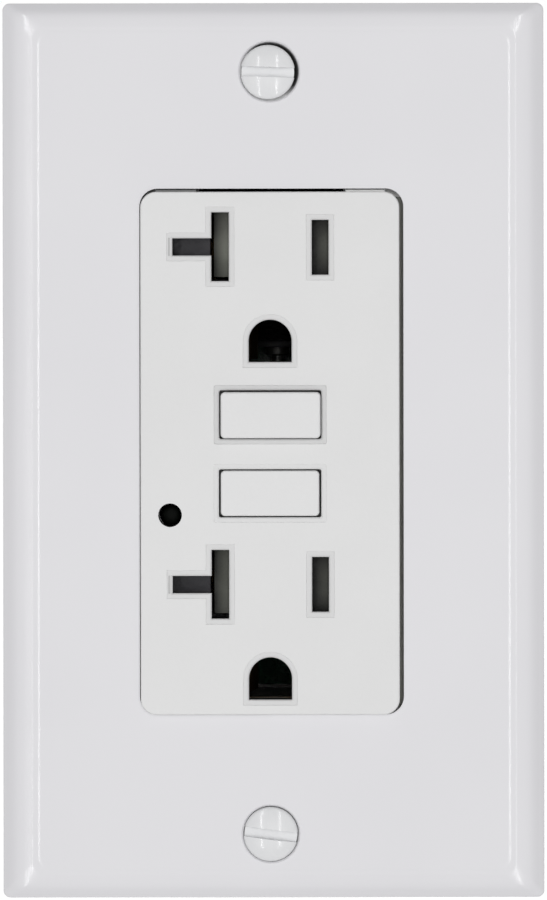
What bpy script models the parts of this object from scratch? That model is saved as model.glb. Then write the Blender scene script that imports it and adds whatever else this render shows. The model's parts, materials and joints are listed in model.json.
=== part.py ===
"""Ground-fault receptacle, 20 A, tamper resistant, with its wall plate.

Axes: +X right seen from the front, +Z up, front faces -Y, +Y runs into the wall.
Origin: centre of the receptacle's front face.  The wall surface is at Y = WALL_Y.
All sizes below are millimetres; meshes are written in metres.
"""
import math

import bmesh
import bpy
from mathutils import Vector

MM = 0.001
SIDES = (-1, 1)                    # left and right, or lower and upper
WALL_Y = 6.4

# ---- wall plate
PLATE_W, PLATE_H = 68.9, 113.9
PLATE_CX, PLATE_CZ = 0.36, 0.31    # plate sits a little right of and above the device
PLATE_FRONT = 0.8
PLATE_BACK = 2.7                   # Y where the features on the plate's back start
OPEN_W, OPEN_H, OPEN_R = 33.56, 66.86, 2.3
OPEN_CX, OPEN_CZ = 0.18, 0.19      # the face sits low in the opening
PLATE_SCREWS = ((-0.25, 48.42), (0.02, -48.42))    # x, z: upper, lower
PLATE_HOLES = ((0.21, 0.18, 3.82), (0.02, 0.0, 3.65))   # x and z off the screw, radius
# Border of the plate: distance in from the side edge, slope in degrees
PLATE_EDGE = (
    (0.12, 26), (0.9, 25), (1.25, 21), (1.55, 16), (1.95, 10), (2.35, 7), (2.9, 4.6), (3.35, 3.9),
    (3.6, 3.4), (3.95, 2.6), (4.1, 0.6), (4.3, 0.3), (4.42, 3.8), (4.55, 3.8), (4.68, 0.3),
    (4.75, 0.0))
# Front sections of the plate: distance in from the side edge, corner radius
PLATE_CORNERS = ((0.9, 1.0), (1.25, 1.1), (1.55, 1.2), (1.95, 1.3), (2.9, 1.5), (3.95, 1.7),
                 (4.3, 1.8), (4.75, 1.9))

# ---- receptacle face
FACE_W, FACE_H, FACE_R = 32.9, 66.4, 2.0
FACE_WALL = 1.75
FLANGE_W, FLANGE_H, FLANGE_WALL = 43.4, 69.6, 1.7
FLANGE_Y0, FLANGE_Y1 = 3.4, 8.6
BLADE_Z = (26.13, -16.74)          # blade centre lines: upper, lower outlet
GROUND_DROP = 11.91                # ground hole below its blade line
WINDOWS = ((-6.46, 6.53, 1.90, 8.08), (-6.50, 6.52, -8.15, -2.03))   # x0, x1, z0, z1
RESET_X, RESET_Z = 0.11, 4.85      # the reset stem stays at X = 0
TEST_Z = -5.14
LED_X, LED_Z, LED_R = -12.69, -7.96, 1.50

# ---- strap and body
STRAP_Y0, STRAP_Y1 = 5.2, WALL_Y
BOX_SCREW_SPACING = 83.34
BOX_SCREW_Z = BOX_SCREW_SPACING / 2
GROUND_SCREW = (0, 11.0, -40.0)    # point on the screw's axis, which runs along X
GROUND_BORE_R = 2.25               # hole in the clamp plates for their screws
BODY_W, BODY_H, BODY_WALL = 43.0, 69.0, 1.8
BODY_Y0, BODY_Y1 = 9.0, 33.0
BLOCK_Y1 = 31.5                    # back of the posts and terminal blocks in the housing
POST_X, POST_Z = 17.8, 31.0        # housing screw axes
TERM_Z = (17.5, -17.5)             # load terminals, line terminals
TERM_Y = 19.75

# ---- inner works
CONTACT_X, CONTACT_Z, CONTACT_R = 8.9, 4.9, 1.25   # contact buttons on bus and moving arm
GRIP_Y0, BUS_Y0, BUS_Y1 = 11.2, 17.0, 17.7         # front of the blade grips, bus strip
SOLENOID_Y, SOLENOID_Z = 23.6, 20                  # the coil's axis runs along Z
BOARD_Y0, BOARD_Y1 = 28.6, 30.2
SENSOR_Z = -16.0

# ---- looks
WHITE = dict(rgb=(0.74, 0.74, 0.75), roughness=0.34)
GREY_BODY = dict(rgb=(0.62, 0.62, 0.60), roughness=0.5)
STEEL = dict(rgb=(0.60, 0.60, 0.58), roughness=0.35, metallic=1.0)
BRASS = dict(rgb=(0.78, 0.57, 0.25), roughness=0.32, metallic=1.0)
COPPER = dict(rgb=(0.80, 0.46, 0.30), roughness=0.35, metallic=1.0)
NICKEL = dict(rgb=(0.66, 0.65, 0.62), roughness=0.28, metallic=1.0)
PALE_SCREW = dict(rgb=(0.72, 0.73, 0.76), roughness=0.3, metallic=0.2)
GREEN_SCREW = dict(rgb=(0.03, 0.26, 0.08), roughness=0.4, metallic=0.5)
DARK_SHUTTER = dict(rgb=(0.075, 0.077, 0.066), roughness=0.6)
BLACK_SHUTTER = dict(rgb=(0.05, 0.05, 0.06), roughness=0.6)
BLACK_FRAME = dict(rgb=(0.045, 0.045, 0.05), roughness=0.55)
BLACK_LATCH = dict(rgb=(0.10, 0.10, 0.11), roughness=0.5)
BLACK_BOBBIN = dict(rgb=(0.05, 0.06, 0.08), roughness=0.5)
BLACK_SENSOR = dict(rgb=(0.05, 0.05, 0.055), roughness=0.45)
BLACK_CHIP = dict(rgb=(0.02, 0.02, 0.022), roughness=0.4)
DARK_PIPE = dict(rgb=(0.03, 0.05, 0.03), roughness=0.1)
GREEN_LED = dict(rgb=(0.08, 0.30, 0.08), roughness=0.2)
GREEN_BOARD = dict(rgb=(0.02, 0.16, 0.07), roughness=0.4)
ORANGE_DISC = dict(rgb=(0.72, 0.36, 0.04), roughness=0.4)
RED_BROWN = dict(rgb=(0.35, 0.05, 0.03), roughness=0.4)


# ------------------------------------------------------------------ solids
def skin(stack, closed=False):
    """Skin equal-length rings; cap the ends, or join them when closed."""
    count, levels = len(stack[0]), len(stack)
    faces = []
    for level in range(levels if closed else levels - 1):
        near, far = level * count, ((level + 1) % levels) * count
        for i in range(count):
            j = (i + 1) % count
            faces.append((near + i, near + j, far + j, far + i))
    if not closed:
        faces.append(tuple(range(count)))
        faces.append(tuple(range((levels - 1) * count, levels * count)))
    mesh = bpy.data.meshes.new("solid")
    mesh.from_pydata([point for ring in stack for point in ring], [], faces)
    mesh.validate()
    work = bmesh.new()
    work.from_mesh(mesh)
    bmesh.ops.recalc_face_normals(work, faces=work.faces)
    work.to_mesh(mesh)
    work.free()
    solid = bpy.data.objects.new("solid", mesh)
    bpy.context.scene.collection.objects.link(solid)
    return solid


def loft_y(sections):
    """sections: (outline of x, z points; y) pairs with equal point counts."""
    return skin([[(x, y, z) for x, z in outline] for outline, y in sections])


def prism_y(outline, y0, y1):
    return loft_y([(outline, y0), (outline, y1)])


def prism_z(outline, z0, z1):
    return skin([[(x, y, z) for x, y in outline] for z in (z0, z1)])


def rect(x0, x1, z0, z1):
    return [(x0, z0), (x1, z0), (x1, z1), (x0, z1)]


def box(x0, x1, y0, y1, z0, z1):
    """The two X limits, and the two Z limits, may come in either order."""
    return prism_y(rect(*sorted((x0, x1)), *sorted((z0, z1))), y0, y1)


def side_box(side, x0, x1, *limits):
    """A box given for the right, placed on the right (1) or mirrored to the left (-1)."""
    return box(side * x0, side * x1, *limits)


def rounded_rect(width, height, radius, steps, cx=0.0, cz=0.0):
    points = []
    for side, end, start in ((1, 1, 0), (-1, 1, 90), (-1, -1, 180), (1, -1, 270)):
        for k in range(steps + 1):
            angle = math.radians(start + 90.0 * k / steps)
            points.append((cx + side * (width / 2 - radius) + radius * math.cos(angle),
                           cz + end * (height / 2 - radius) + radius * math.sin(angle)))
    return points


def around(axis, centre, radius, angle, along):
    """The point at a radius and angle about an axis, and a distance along it."""
    across, up = radius * math.cos(angle), radius * math.sin(angle)
    x, y, z = {"x": (along, across, up), "y": (across, along, up), "z": (across, up, along)}[axis]
    return centre[0] + x, centre[1] + y, centre[2] + z


def revolve(profile, axis, centre, sides, closed=False, phase=0.5):
    """Revolve (radius, distance along the axis) points; phase turns it by parts of a side."""
    return skin([[around(axis, centre, radius, 2 * math.pi * (i + phase) / sides, along)
                  for i in range(sides)] for radius, along in profile], closed)


def revolve_y(profile, x, z, sides, closed=False):
    return revolve(profile, "y", (x, 0, z), sides, closed)


def rod_x(radius, x0, x1, centre, sides):
    return revolve([(radius, x) for x in sorted((x0, x1))], "x", centre, sides)


def rod_y(radius, y0, y1, x, z, sides):
    return revolve_y([(radius, y0), (radius, y1)], x, z, sides)


def coil(radius, wire, start, end, turns, axis, centre, per_turn=9, sides=5):
    """Spring of the given wire radius between two distances along the axis."""
    stack = []
    total = turns * per_turn
    for k in range(total + 1):
        angle = 2 * math.pi * k / per_turn
        middle = start + wire + (end - start - 2 * wire) * k / total
        ring = []
        for i in range(sides):
            turn = 2 * math.pi * i / sides
            ring.append(around(axis, centre, radius + wire * math.cos(turn), angle,
                               middle + wire * math.sin(turn)))
        stack.append(ring)
    return skin(stack)


# ------------------------------------------------------------------ booleans and finishing
def combine(part, others, operation):
    """Apply one boolean of all the other solids to the part, then remove them."""
    operands = bpy.data.collections.new("operands")
    for other in others:
        for owner in list(other.users_collection):
            owner.objects.unlink(other)
        operands.objects.link(other)
    bpy.context.scene.collection.children.link(operands)
    boolean = part.modifiers.new("boolean", "BOOLEAN")
    boolean.operation = operation
    boolean.solver = "EXACT"
    boolean.operand_type = "COLLECTION"
    boolean.collection = operands
    boolean.use_self = operation == "UNION"
    depsgraph = bpy.context.evaluated_depsgraph_get()
    depsgraph.update()
    mesh = bpy.data.meshes.new_from_object(part.evaluated_get(depsgraph))
    part.modifiers.clear()
    old_mesh = part.data
    part.data = mesh
    bpy.data.meshes.remove(old_mesh)
    for other in others:
        bpy.data.objects.remove(other, do_unlink=True)
    bpy.data.collections.remove(operands)
    return part


def cut(part, *others):
    return combine(part, others, "DIFFERENCE")


def join(part, *others):
    return combine(part, others, "UNION")


def make_material(name, rgb, roughness, metallic=0.0):
    material = bpy.data.materials.new(name)
    material.use_nodes = True
    shader = material.node_tree.nodes["Principled BSDF"]
    shader.inputs["Base Color"].default_value = (*rgb, 1.0)
    shader.inputs["Roughness"].default_value = roughness
    shader.inputs["Metallic"].default_value = metallic
    material.diffuse_color = (*rgb, 1.0)
    return material


def finish(part, name, look, pivot=(0, 0, 0), *, smooth):
    """Name the part, scale it to metres about the pivot, and give it its own material.

    Edges sharper than the smooth angle, in degrees, stay sharp.
    """
    mesh = part.data
    part.name = mesh.name = name
    origin = Vector(pivot)
    for vertex in mesh.vertices:
        vertex.co = (vertex.co - origin) * MM
    part.location = origin * MM
    mesh.shade_smooth()
    mesh.set_sharp_from_angle(angle=math.radians(smooth))
    mesh.materials.clear()
    mesh.materials.append(make_material(name + "_mat", **look))
    for polygon in mesh.polygons:
        polygon.material_index = 0


# ------------------------------------------------------------------ shared outlines
def ground_outline(z, grow=0.0, steps=14):
    """Ground hole: round top, flat bottom."""
    radius, low = 2.74 + grow, 2.73 + grow
    points = [(-radius, z - low), (radius, z - low)]
    for k in range(steps + 1):
        angle = math.pi * k / steps
        points.append((radius * math.cos(angle), z + radius * math.sin(angle)))
    return points


def t_outline(leg_x, left, right, z, half_height, leg_below, leg_above):
    """Tall slot from left to right, with a leg running out to leg_x on the left."""
    return [(leg_x, z - leg_below), (left, z - leg_below), (left, z - half_height),
            (right, z - half_height), (right, z + half_height), (left, z + half_height),
            (left, z + leg_above), (leg_x, z + leg_above)]


def neutral_outline(z, grow):
    return t_outline(-12.43 - grow, -7.48 - grow, -5.24 + grow, z,
                     4.375 + grow, 1.13 + grow, 1.08 + grow)


def hot_outline(z, grow):
    return rect(5.28 - grow, 7.43 + grow, z - 3.50 - grow, z + 3.48 + grow)


# ------------------------------------------------------------------ wall plate
def plate_heights():
    """Y at each distance in from the edge, summed outwards from the flat front."""
    y = PLATE_FRONT
    heights = {PLATE_EDGE[-1][0]: y}
    for (inner, inner_slope), (outer, outer_slope) in zip(PLATE_EDGE[::-1], PLATE_EDGE[-2::-1]):
        y += (inner - outer) * math.tan(math.radians((inner_slope + outer_slope) / 2))
        heights[outer] = round(y, 4)
    return heights


def build_wall_plate():
    steps = 5
    rib_x, rib_z, rib_back = 24.2, 53.0, 4.2

    def section(inset, y, radius, z_share=0.8):
        """z_share: how much of the side inset the top and bottom edges take."""
        return rounded_rect(PLATE_W - 2 * inset, PLATE_H - 2 * inset * z_share, radius, steps,
                            PLATE_CX, PLATE_CZ), y

    def opening(y0, y1, margin=0.0, corner=0.0):
        return prism_y(rounded_rect(OPEN_W + margin, OPEN_H + margin, OPEN_R + corner, steps,
                                    OPEN_CX, OPEN_CZ), y0, y1)

    heights = plate_heights()
    rim_y = heights[0.12]
    part = loft_y([section(0.10, WALL_Y, 0.8, 1.0), section(0.0, 4.6, 0.9),
                   section(0.0, rim_y + 0.16, 0.9), section(0.03, rim_y + 0.06, 0.9),
                   section(0.12, rim_y, 0.9)]
                  + [section(inset, heights[inset], radius) for inset, radius in PLATE_CORNERS])
    hollow = loft_y([section(2.0, WALL_Y + 0.2, 0.5, 1.0), section(2.0, 4.3, 0.5, 1.0),
                     section(3.4, 2.95, 0.5, 1.0)])
    cut(part, hollow, opening(-1, 8))

    # On the back: a rim round the opening, screw bosses and ribs
    adds = [cut(opening(PLATE_BACK, 3.15, 3.0, 1.4), opening(2, 5))]
    screw_holes = list(zip(PLATE_SCREWS, PLATE_HOLES))
    for (x, z), (shift_x, shift_z, radius) in screw_holes:
        adds.append(rod_y(radius + 0.5, 2.5, 3.35, x + shift_x, z + shift_z, 32))
        adds.append(rod_y(3.1, PLATE_BACK, 4.7, x, z, 24))
    for side in SIDES:
        x = PLATE_CX + side * rib_x
        for z in (-40.0, -20.0, 0.0, 20.0, 40.0):
            adds.append(box(x - 0.5, x + 0.5, PLATE_BACK, rib_back, z - 6, z + 6))
    for end in SIDES:
        z = PLATE_CZ + end * rib_z
        for side in SIDES:
            x = PLATE_CX + side * 16
            adds.append(box(x - 8, x + 8, PLATE_BACK, rib_back, z - 0.5, z + 0.5))
    join(part, *adds)
    # Each hole is wide for the head in front and narrow for the shank behind
    cut(part, *[join(rod_y(radius, 0.5, 2.6, x + shift_x, z + shift_z, 40),
                     rod_y(2.1, 2.5, 5.2, x, z, 24))
                for (x, z), (shift_x, shift_z, radius) in screw_holes])
    finish(part, "wall_plate", WHITE, smooth=28)


def build_plate_screw(name, x, z, tilt):
    """Oval countersunk head with a slot tilted by the given degrees."""
    profile = [(0.35, 0.02), (1.9, 0.10), (2.9, 0.30), (3.38, 0.52), (3.52, 0.72),
               (3.42, 0.86), (1.6, 2.92), (1.6, 13.0), (1.2, 13.4)]     # radius, y
    part = revolve_y(profile, x, z, 28)
    slot = box(-4, 4, -0.6, 0.86, -0.65, 0.65)
    angle = math.radians(tilt)
    for vertex in slot.data.vertices:
        along, across = vertex.co.x, vertex.co.z
        vertex.co.x = x + along * math.cos(angle) - across * math.sin(angle)
        vertex.co.z = z + along * math.sin(angle) + across * math.cos(angle)
    cut(part, slot)
    finish(part, name, PALE_SCREW, (x, 0, z), smooth=35)


# ------------------------------------------------------------------ receptacle cover
def sunk(outline, width, depth):
    """Cutter for a hole with a sloping border; outline(grow) gives its points."""
    return loft_y([(outline(width * 1.5), -depth * 0.5), (outline(0.0), depth),
                   (outline(0.0), 3.0)])


def build_face_cover():
    steps = 5
    border_w, slot_depth, window_border_w, window_depth = 0.6, 0.28, 0.55, 0.12
    # Rounded front edge: taken off the width and height, y
    part = loft_y([(rounded_rect(FACE_W - less, FACE_H - less, FACE_R - less / 2, steps), y)
                   for less, y in ((0.7, 0.0), (0.2, 0.12), (0.0, 0.4), (0.0, 4.2))])
    join(part, prism_y(rounded_rect(FLANGE_W, FLANGE_H, 2.0, steps), FLANGE_Y0, FLANGE_Y1))
    cut(part,
        prism_y(rounded_rect(FACE_W - 2 * FACE_WALL, FACE_H - 2 * FACE_WALL, 1.2, 3), 1.8, 5.4),
        prism_y(rounded_rect(FLANGE_W - 2 * FLANGE_WALL, FLANGE_H - 2 * FLANGE_WALL, 1.2, 3),
                4.9, 9.0))
    # Corner posts, and a ledge below each pair of blade slots
    adds = [rod_y(2.7, 4.6, FLANGE_Y1, side * POST_X, end * POST_Z, 16)
            for side in SIDES for end in SIDES]
    adds += [box(-14.9, 11.4, 1.6, 3.55, z - 6.5, z - 5.9) for z in BLADE_Z]
    join(part, *adds)

    cuts = []
    for end in SIDES:
        # Notches in the flange for the strap, then the screw bores in the posts
        cuts.append(box(-9.5, 9.5, 3.0, 6.7, end * 33.3, end * 36.0))
        cuts.append(box(-9.5, 9.5, 4.75, 6.7, end * 30.5, end * 33.4))
        for side in SIDES:
            cuts.append(rod_y(1.3, 5.9, 9.0, side * POST_X, end * POST_Z, 14))
    for z in BLADE_Z:
        for outline, hole_z in ((neutral_outline, z), (hot_outline, z),
                                (ground_outline, z - GROUND_DROP)):
            cuts.append(sunk(lambda grow: outline(hole_z, grow), border_w, slot_depth))
    for x0, x1, z0, z1 in WINDOWS:
        cuts.append(sunk(lambda grow: rect(x0 - grow, x1 + grow, z0 - grow, z1 + grow),
                         window_border_w, window_depth))
    cuts.append(rod_y(LED_R, -1, 3, LED_X, LED_Z, 24))
    cut(part, *cuts)
    finish(part, "face_cover", WHITE, smooth=28)


# ------------------------------------------------------------------ strap
def build_strap():
    ear_z, ear_end = 46.6, 53.2
    tab_z = (-43.6, -36.4)
    part = box(-19.4, 19.4, STRAP_Y0, STRAP_Y1, -27.4, 27.4)
    adds = [box(-14.6, 14.6, STRAP_Y0, STRAP_Y1, -32.8, 32.8),
            box(-9.2, 9.2, STRAP_Y0, STRAP_Y1, -ear_end, ear_end)]
    for end in SIDES:
        adds.append(box(-15.4, 15.4, STRAP_Y0, STRAP_Y1, end * ear_z, end * 53.1))
    for x, z in PLATE_SCREWS:
        adds.append(rod_y(2.8, STRAP_Y1 - 0.3, 7.6, x, z, 20))
    # Tab for the ground screw: out to the left, then back along +Y
    adds.append(box(-14.2, -8.0, STRAP_Y0, STRAP_Y1, *tab_z))
    adds.append(box(-14.2, -13.0, STRAP_Y0, 15.0, *tab_z))
    join(part, *adds)

    cuts = [rod_y(1.8, 4, 9, x, z, 20) for x, z in PLATE_SCREWS]
    for end in SIDES:
        cuts.append(prism_y(rounded_rect(6.5, 4.2, 2.09, 5, 0, end * BOX_SCREW_Z), 4, 8))
        for side in SIDES:
            # Two small notches and a hole in each ear: radius, x, z, sides
            for radius, x, z, sides in ((0.9, 10.0, ear_z, 12), (0.9, 10.0, ear_end, 12),
                                        (1.7, 13.0, 49.9, 14)):
                cuts.append(rod_y(radius, 4, 8, side * x, end * z, sides))
    for z in BLADE_Z:
        cuts.append(box(-13.2, 9.0, 4, 8, z - 4.8, z + 4.8))
        cuts.append(prism_y(ground_outline(z - GROUND_DROP, 0.6), 4, 8))
        for side in SIDES:
            cuts.append(rod_y(0.75, 4, 8, side * 5.0, z - GROUND_DROP, 10))
    cuts.append(box(-8.0, 8.0, 4, 8, -9.1, 9.1))
    cuts.append(rod_y(1.7, 4, 8, LED_X, LED_Z, 16))
    cuts.append(rod_x(2.3, -15, -12, GROUND_SCREW, 18))
    cut(part, *cuts)
    finish(part, "mounting_strap", STEEL, smooth=30)


def build_ground_contact(name, z):
    """Spring clip behind the ground hole: base, two bowed arms, two rivet studs."""
    arm = [(3.0, 7.0), (2.5, 11.0), (2.15, 13.2), (2.6, 17.0),
           (3.0, 17.0), (2.55, 13.2), (2.9, 11.0), (3.45, 7.0)]         # x, y
    mirrored = [(-x, y) for x, y in reversed(arm)]
    part = box(-6.4, 6.4, 6.7, 7.3, z - 3.8, z + 3.8)
    join(part, *[prism_z(outline, z - 2.4, z + 2.4) for outline in (arm, mirrored)],
         *[rod_y(0.5, 4.9, 6.9, side * 5.0, z, 10) for side in SIDES])
    cut(part, prism_y(ground_outline(z, 0.22), 6, 7.35))
    finish(part, name, BRASS, smooth=30)


def build_box_screw(name, z):
    """Long screw with a cross-slotted head."""
    profile = [(0.3, 3.35), (1.8, 3.45), (2.8, 3.75), (3.35, 4.3), (3.4, 4.9), (1.65, 4.92),
               (1.65, 35.2), (1.1, 35.8)]     # radius, y
    part = revolve_y(profile, 0, z, 24)
    cut(part, box(-4, 4, 3, 4.3, z - 0.5, z + 0.5), box(-0.5, 0.5, 3, 4.3, z - 2, z + 2))
    finish(part, name, STEEL, (0, 0, z), smooth=35)


def build_ground_screw():
    """Green hexagonal slotted screw through the strap's side tab."""
    # Profiles: radius, x
    part = revolve([(3.6, -17.4), (4.0, -17.0), (4.0, -14.9)], "x", GROUND_SCREW, 6, phase=0.0)
    join(part, revolve([(4.3, -15.0), (4.3, -14.5)], "x", GROUND_SCREW, 24),
         revolve([(1.95, -14.7), (1.95, -8.2), (1.5, -7.8)], "x", GROUND_SCREW, 20))
    _, y, z = GROUND_SCREW
    cut(part, box(-18, -16.4, y - 4, y + 4, z - 0.5, z + 0.5))
    finish(part, "ground_screw", GREEN_SCREW, GROUND_SCREW, smooth=32)


def build_ground_clamp():
    _, y, z = GROUND_SCREW
    part = box(-12.7, -11.6, y - 3.6, y + 3.6, z - 3.2, z + 3.2)
    cut(part, rod_x(GROUND_BORE_R, -14, -10, GROUND_SCREW, 18))
    finish(part, "ground_clamp", STEEL, (-12.15, y, z), smooth=30)


# ------------------------------------------------------------------ frame and housing
def build_middle_frame():
    front, back = 9.2, 10.6
    part = box(-19.4, 19.4, front, back, -27.7, 27.7)
    join(part, box(-14.5, 14.5, front, back, -32.4, 32.4),
         *[box(-12.9, 8.7, 5.4, front + 0.3, z - 4.5, z + 4.5) for z in BLADE_Z])
    cuts = []
    for z in BLADE_Z:
        ground_z = z - GROUND_DROP
        cuts += [prism_y(t_outline(-12.65, -7.7, -5.0, z, 4.0, 1.4, 1.4), 4, 12),
                 box(5.0, 7.7, 4, 12, z - 3.7, z + 3.7),
                 box(-3.6, 3.6, 8, 12, ground_z - 3.1, ground_z + 3.1)]
    cuts += [rod_y(1.75, 8, 12, 0, RESET_Z, 18), box(-2.0, 2.0, 8, 12, -6.8, -3.5),
             rod_y(1.6, 8, 12, LED_X, LED_Z, 16)]
    cut(part, *cuts)
    finish(part, "middle_frame", BLACK_FRAME, smooth=28)


def build_rear_housing():
    steps = 4
    # Outside: taken off the width and height, corner radius, y
    part = loft_y([(rounded_rect(BODY_W - less, BODY_H - less, radius, steps), y)
                   for less, radius, y in ((0.0, 2.2, BODY_Y0), (0.4, 2.2, BODY_Y1 - 1.0),
                                           (2.2, 1.8, BODY_Y1))])
    cut(part, prism_y(rounded_rect(BODY_W - 2 * BODY_WALL, BODY_H - 2 * BODY_WALL, 1.2, 3),
                      8, 31.0))
    adds = []
    for side in SIDES:
        for end in SIDES:
            adds.append(rod_y(2.9, BODY_Y0 + 0.05, BLOCK_Y1, side * POST_X, end * POST_Z, 16))
        for z in TERM_Z:
            adds.append(side_box(side, 12.4, 20.6, 11.3, BLOCK_Y1, z - 7.7, z + 7.7))
    join(part, *adds)

    post_bore = [(1.35, 8), (1.35, 30.4), (2.55, 30.5), (2.55, 34)]     # radius, y
    rear_hole = [(1.3, 26.5), (1.3, 32.3), (1.9, 33.2)]                 # radius, y
    cuts = []
    for side in SIDES:
        for end in SIDES:
            cuts.append(revolve_y(post_bore, side * POST_X, end * POST_Z, 16))
        for z in TERM_Z:
            # Open pocket, a slot for the terminal's foot, two holes in from the back
            cuts.append(side_box(side, 13.6, 23, 12.5, 27.0, z - 6.5, z + 6.5))
            inward = -1 if z > 0 else 1
            cuts.append(side_box(side, 12.0, 14.0, 15.6, 20.4, z + inward * 4.1, z + inward * 5.9))
            for offset in (-2.6, 2.6):
                cuts.append(revolve_y(rear_hole, side * 16.1, z + offset, 16))
    cut(part, *cuts)
    finish(part, "rear_housing", GREY_BODY, smooth=28)


def build_housing_screw(name, x, z):
    """Screw driven from the back, with a cross recess."""
    profile = [(0.3, 32.4), (1.6, 32.3), (2.2, 31.8), (2.2, 30.8), (1.1, 30.7), (1.1, 6.8),
               (0.6, 6.3)]     # radius, y
    part = revolve_y(profile, x, z, 18)
    cut(part, *[box(x - half_w, x + half_w, 31.6, 33, z - half_h, z + half_h)
                for half_w, half_h in ((1.4, 0.3), (0.3, 1.4))])
    finish(part, name, STEEL, (x, 0, z), smooth=35)


# ------------------------------------------------------------------ buttons and indicator
def make_button(z, width, height, front, cx=0.0):
    """Button cap on a wider base plate."""
    # Taken off the width and height, corner radius, y
    sections = ((0.5, 0.4, front), (0.12, 0.5, front + 0.08), (0.0, 0.55, front + 0.3),
                (0.0, 0.55, 3.3))
    part = loft_y([(rounded_rect(width - less, height - less, radius, 4, cx, z), y)
                   for less, radius, y in sections])
    return join(part, box(-7.1, 7.1, 2.15, 3.35, z - 3.55, z + 3.55))


def build_reset():
    pivot = (0, 0, RESET_Z)
    part = make_button(RESET_Z, 12.62, 5.70, -1.0, RESET_X)
    cut(part, rod_y(1.6, 0.7, 4, 0, RESET_Z, 18))
    finish(part, "reset_button", WHITE, pivot, smooth=28)
    # Stem with a groove near its back end: radius, y
    profile = [(1.0, 1.0), (1.3, 1.3), (1.3, 20.8), (0.85, 20.85), (0.85, 21.85), (1.3, 21.9),
               (1.3, 25.0), (0.8, 25.6)]
    finish(revolve_y(profile, 0, RESET_Z, 18), "reset_stem", STEEL, pivot, smooth=35)
    finish(coil(2.4, 0.24, 3.65, 8.95, 5, "y", pivot), "reset_spring", STEEL, pivot, smooth=70)


def build_test():
    part = make_button(TEST_Z, 12.42, 5.64, 0.0)
    join(part, box(-1.4, 1.4, 3.0, 11.8, TEST_Z - 0.9, TEST_Z + 0.9))
    finish(part, "test_button", WHITE, (0, 0, TEST_Z), smooth=28)
    part = box(-1.5, 1.5, 12.35, 12.7, -13.2, -3.4)
    join(part, box(-1.5, 1.5, 10.9, 12.7, -13.9, -13.0))
    finish(part, "test_leaf", COPPER, (0, 12.5, -13.2), smooth=30)


def build_indicator():
    # Profiles: radius, y
    pipe = [(0.5, 2.1), (1.0, 2.2), (1.2, 2.5), (1.2, 25.6), (0.9, 25.9)]
    finish(revolve_y(pipe, LED_X, LED_Z, 16), "light_pipe", DARK_PIPE, smooth=35)
    led = [(0.4, 26.2), (1.1, 26.35), (1.5, 27.0), (1.5, 28.0), (1.75, 28.0), (1.75, 28.3)]
    finish(revolve_y(led, LED_X + 1.2, LED_Z, 16), "indicator_led", GREEN_LED, smooth=35)


# ------------------------------------------------------------------ shutters
def build_shutters(tag, z):
    """Blade shutter slides +X, leg shutter drops; a coil spring returns the blade shutter."""
    part = box(-7.22, 8.2, 2.4, 3.55, z - 5.4, z + 4.9)
    cut(part, box(2.9, 5.15, 2, 4, z - 3.8, z + 3.8), box(-3.2, 1.2, 2, 4, z - 3.2, z + 3.2),
        box(-8, -4.9, 2, 4, z - 6, z - 3.75))
    finish(part, "blade_shutter_" + tag, DARK_SHUTTER, (-1.0, 3.0, z), smooth=28)
    part = box(-12.75, -7.75, 3.85, 4.95, z - 1.4, z + 1.4)
    join(part, box(-12.75, -11.4, 3.85, 4.95, z - 5.2, z + 1.4))
    finish(part, "leg_shutter_" + tag, BLACK_SHUTTER, (-10.2, 4.4, z), smooth=28)
    spring_end = 14.4
    part = coil(0.95, 0.14, 8.45, spring_end, 7, "x", (0, 3.1, z), per_turn=7, sides=4)
    finish(part, "shutter_spring_" + tag, STEEL, (spring_end, 3.1, z), smooth=70)


# ------------------------------------------------------------------ contacts and terminals
def build_bus(name, side):
    """Blade grips at both outlets joined by a strip that carries a fixed contact."""
    part = side_box(side, 7.9, 10.7, BUS_Y0, BUS_Y1, BLADE_Z[1] - 3.4, BLADE_Z[0] + 3.4)
    grip_back = 17.4
    # x0, x1, y0, y1, then z0 and z1 from the blade line
    grips = [(5.0, 8.3, BUS_Y0, BUS_Y1, -3.2, 3.2),
             (5.0, 5.6, GRIP_Y0, grip_back, -3.0, 3.0),
             (7.1, 7.7, GRIP_Y0, grip_back, -3.0, 3.0)]
    if side < 0:    # the neutral side also grips a blade in the slot's leg
        grips += [(8.2, 12.0, GRIP_Y0, grip_back, 0.85, 1.4),
                  (8.2, 12.0, GRIP_Y0, grip_back, -1.4, -0.85),
                  (8.0, 12.0, BUS_Y0, BUS_Y1, -1.4, 1.4)]
    adds = [side_box(side, x0, x1, y0, y1, z + z0, z + z1)
            for z in BLADE_Z for x0, x1, y0, y1, z0, z1 in grips]
    adds.append(rod_y(CONTACT_R, 17.5, 18.4, side * CONTACT_X, CONTACT_Z, 16))
    join(part, *adds)
    finish(part, name, BRASS, smooth=30)


def build_arm(name, side):
    """Moving contact arm, pivoting at its lower end."""
    inner, outer = 7.0, 10.4
    part = side_box(side, inner, outer, 21.0, 21.6, -10.7, 6.7)
    join(part, rod_y(CONTACT_R, 20.2, 21.2, side * CONTACT_X, CONTACT_Z, 16),
         side_box(side, inner, outer, 20.0, 21.3, -10.9, -9.7))
    finish(part, name, COPPER, (side * (inner + outer) / 2, 21.3, -10.3), smooth=30)


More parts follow.
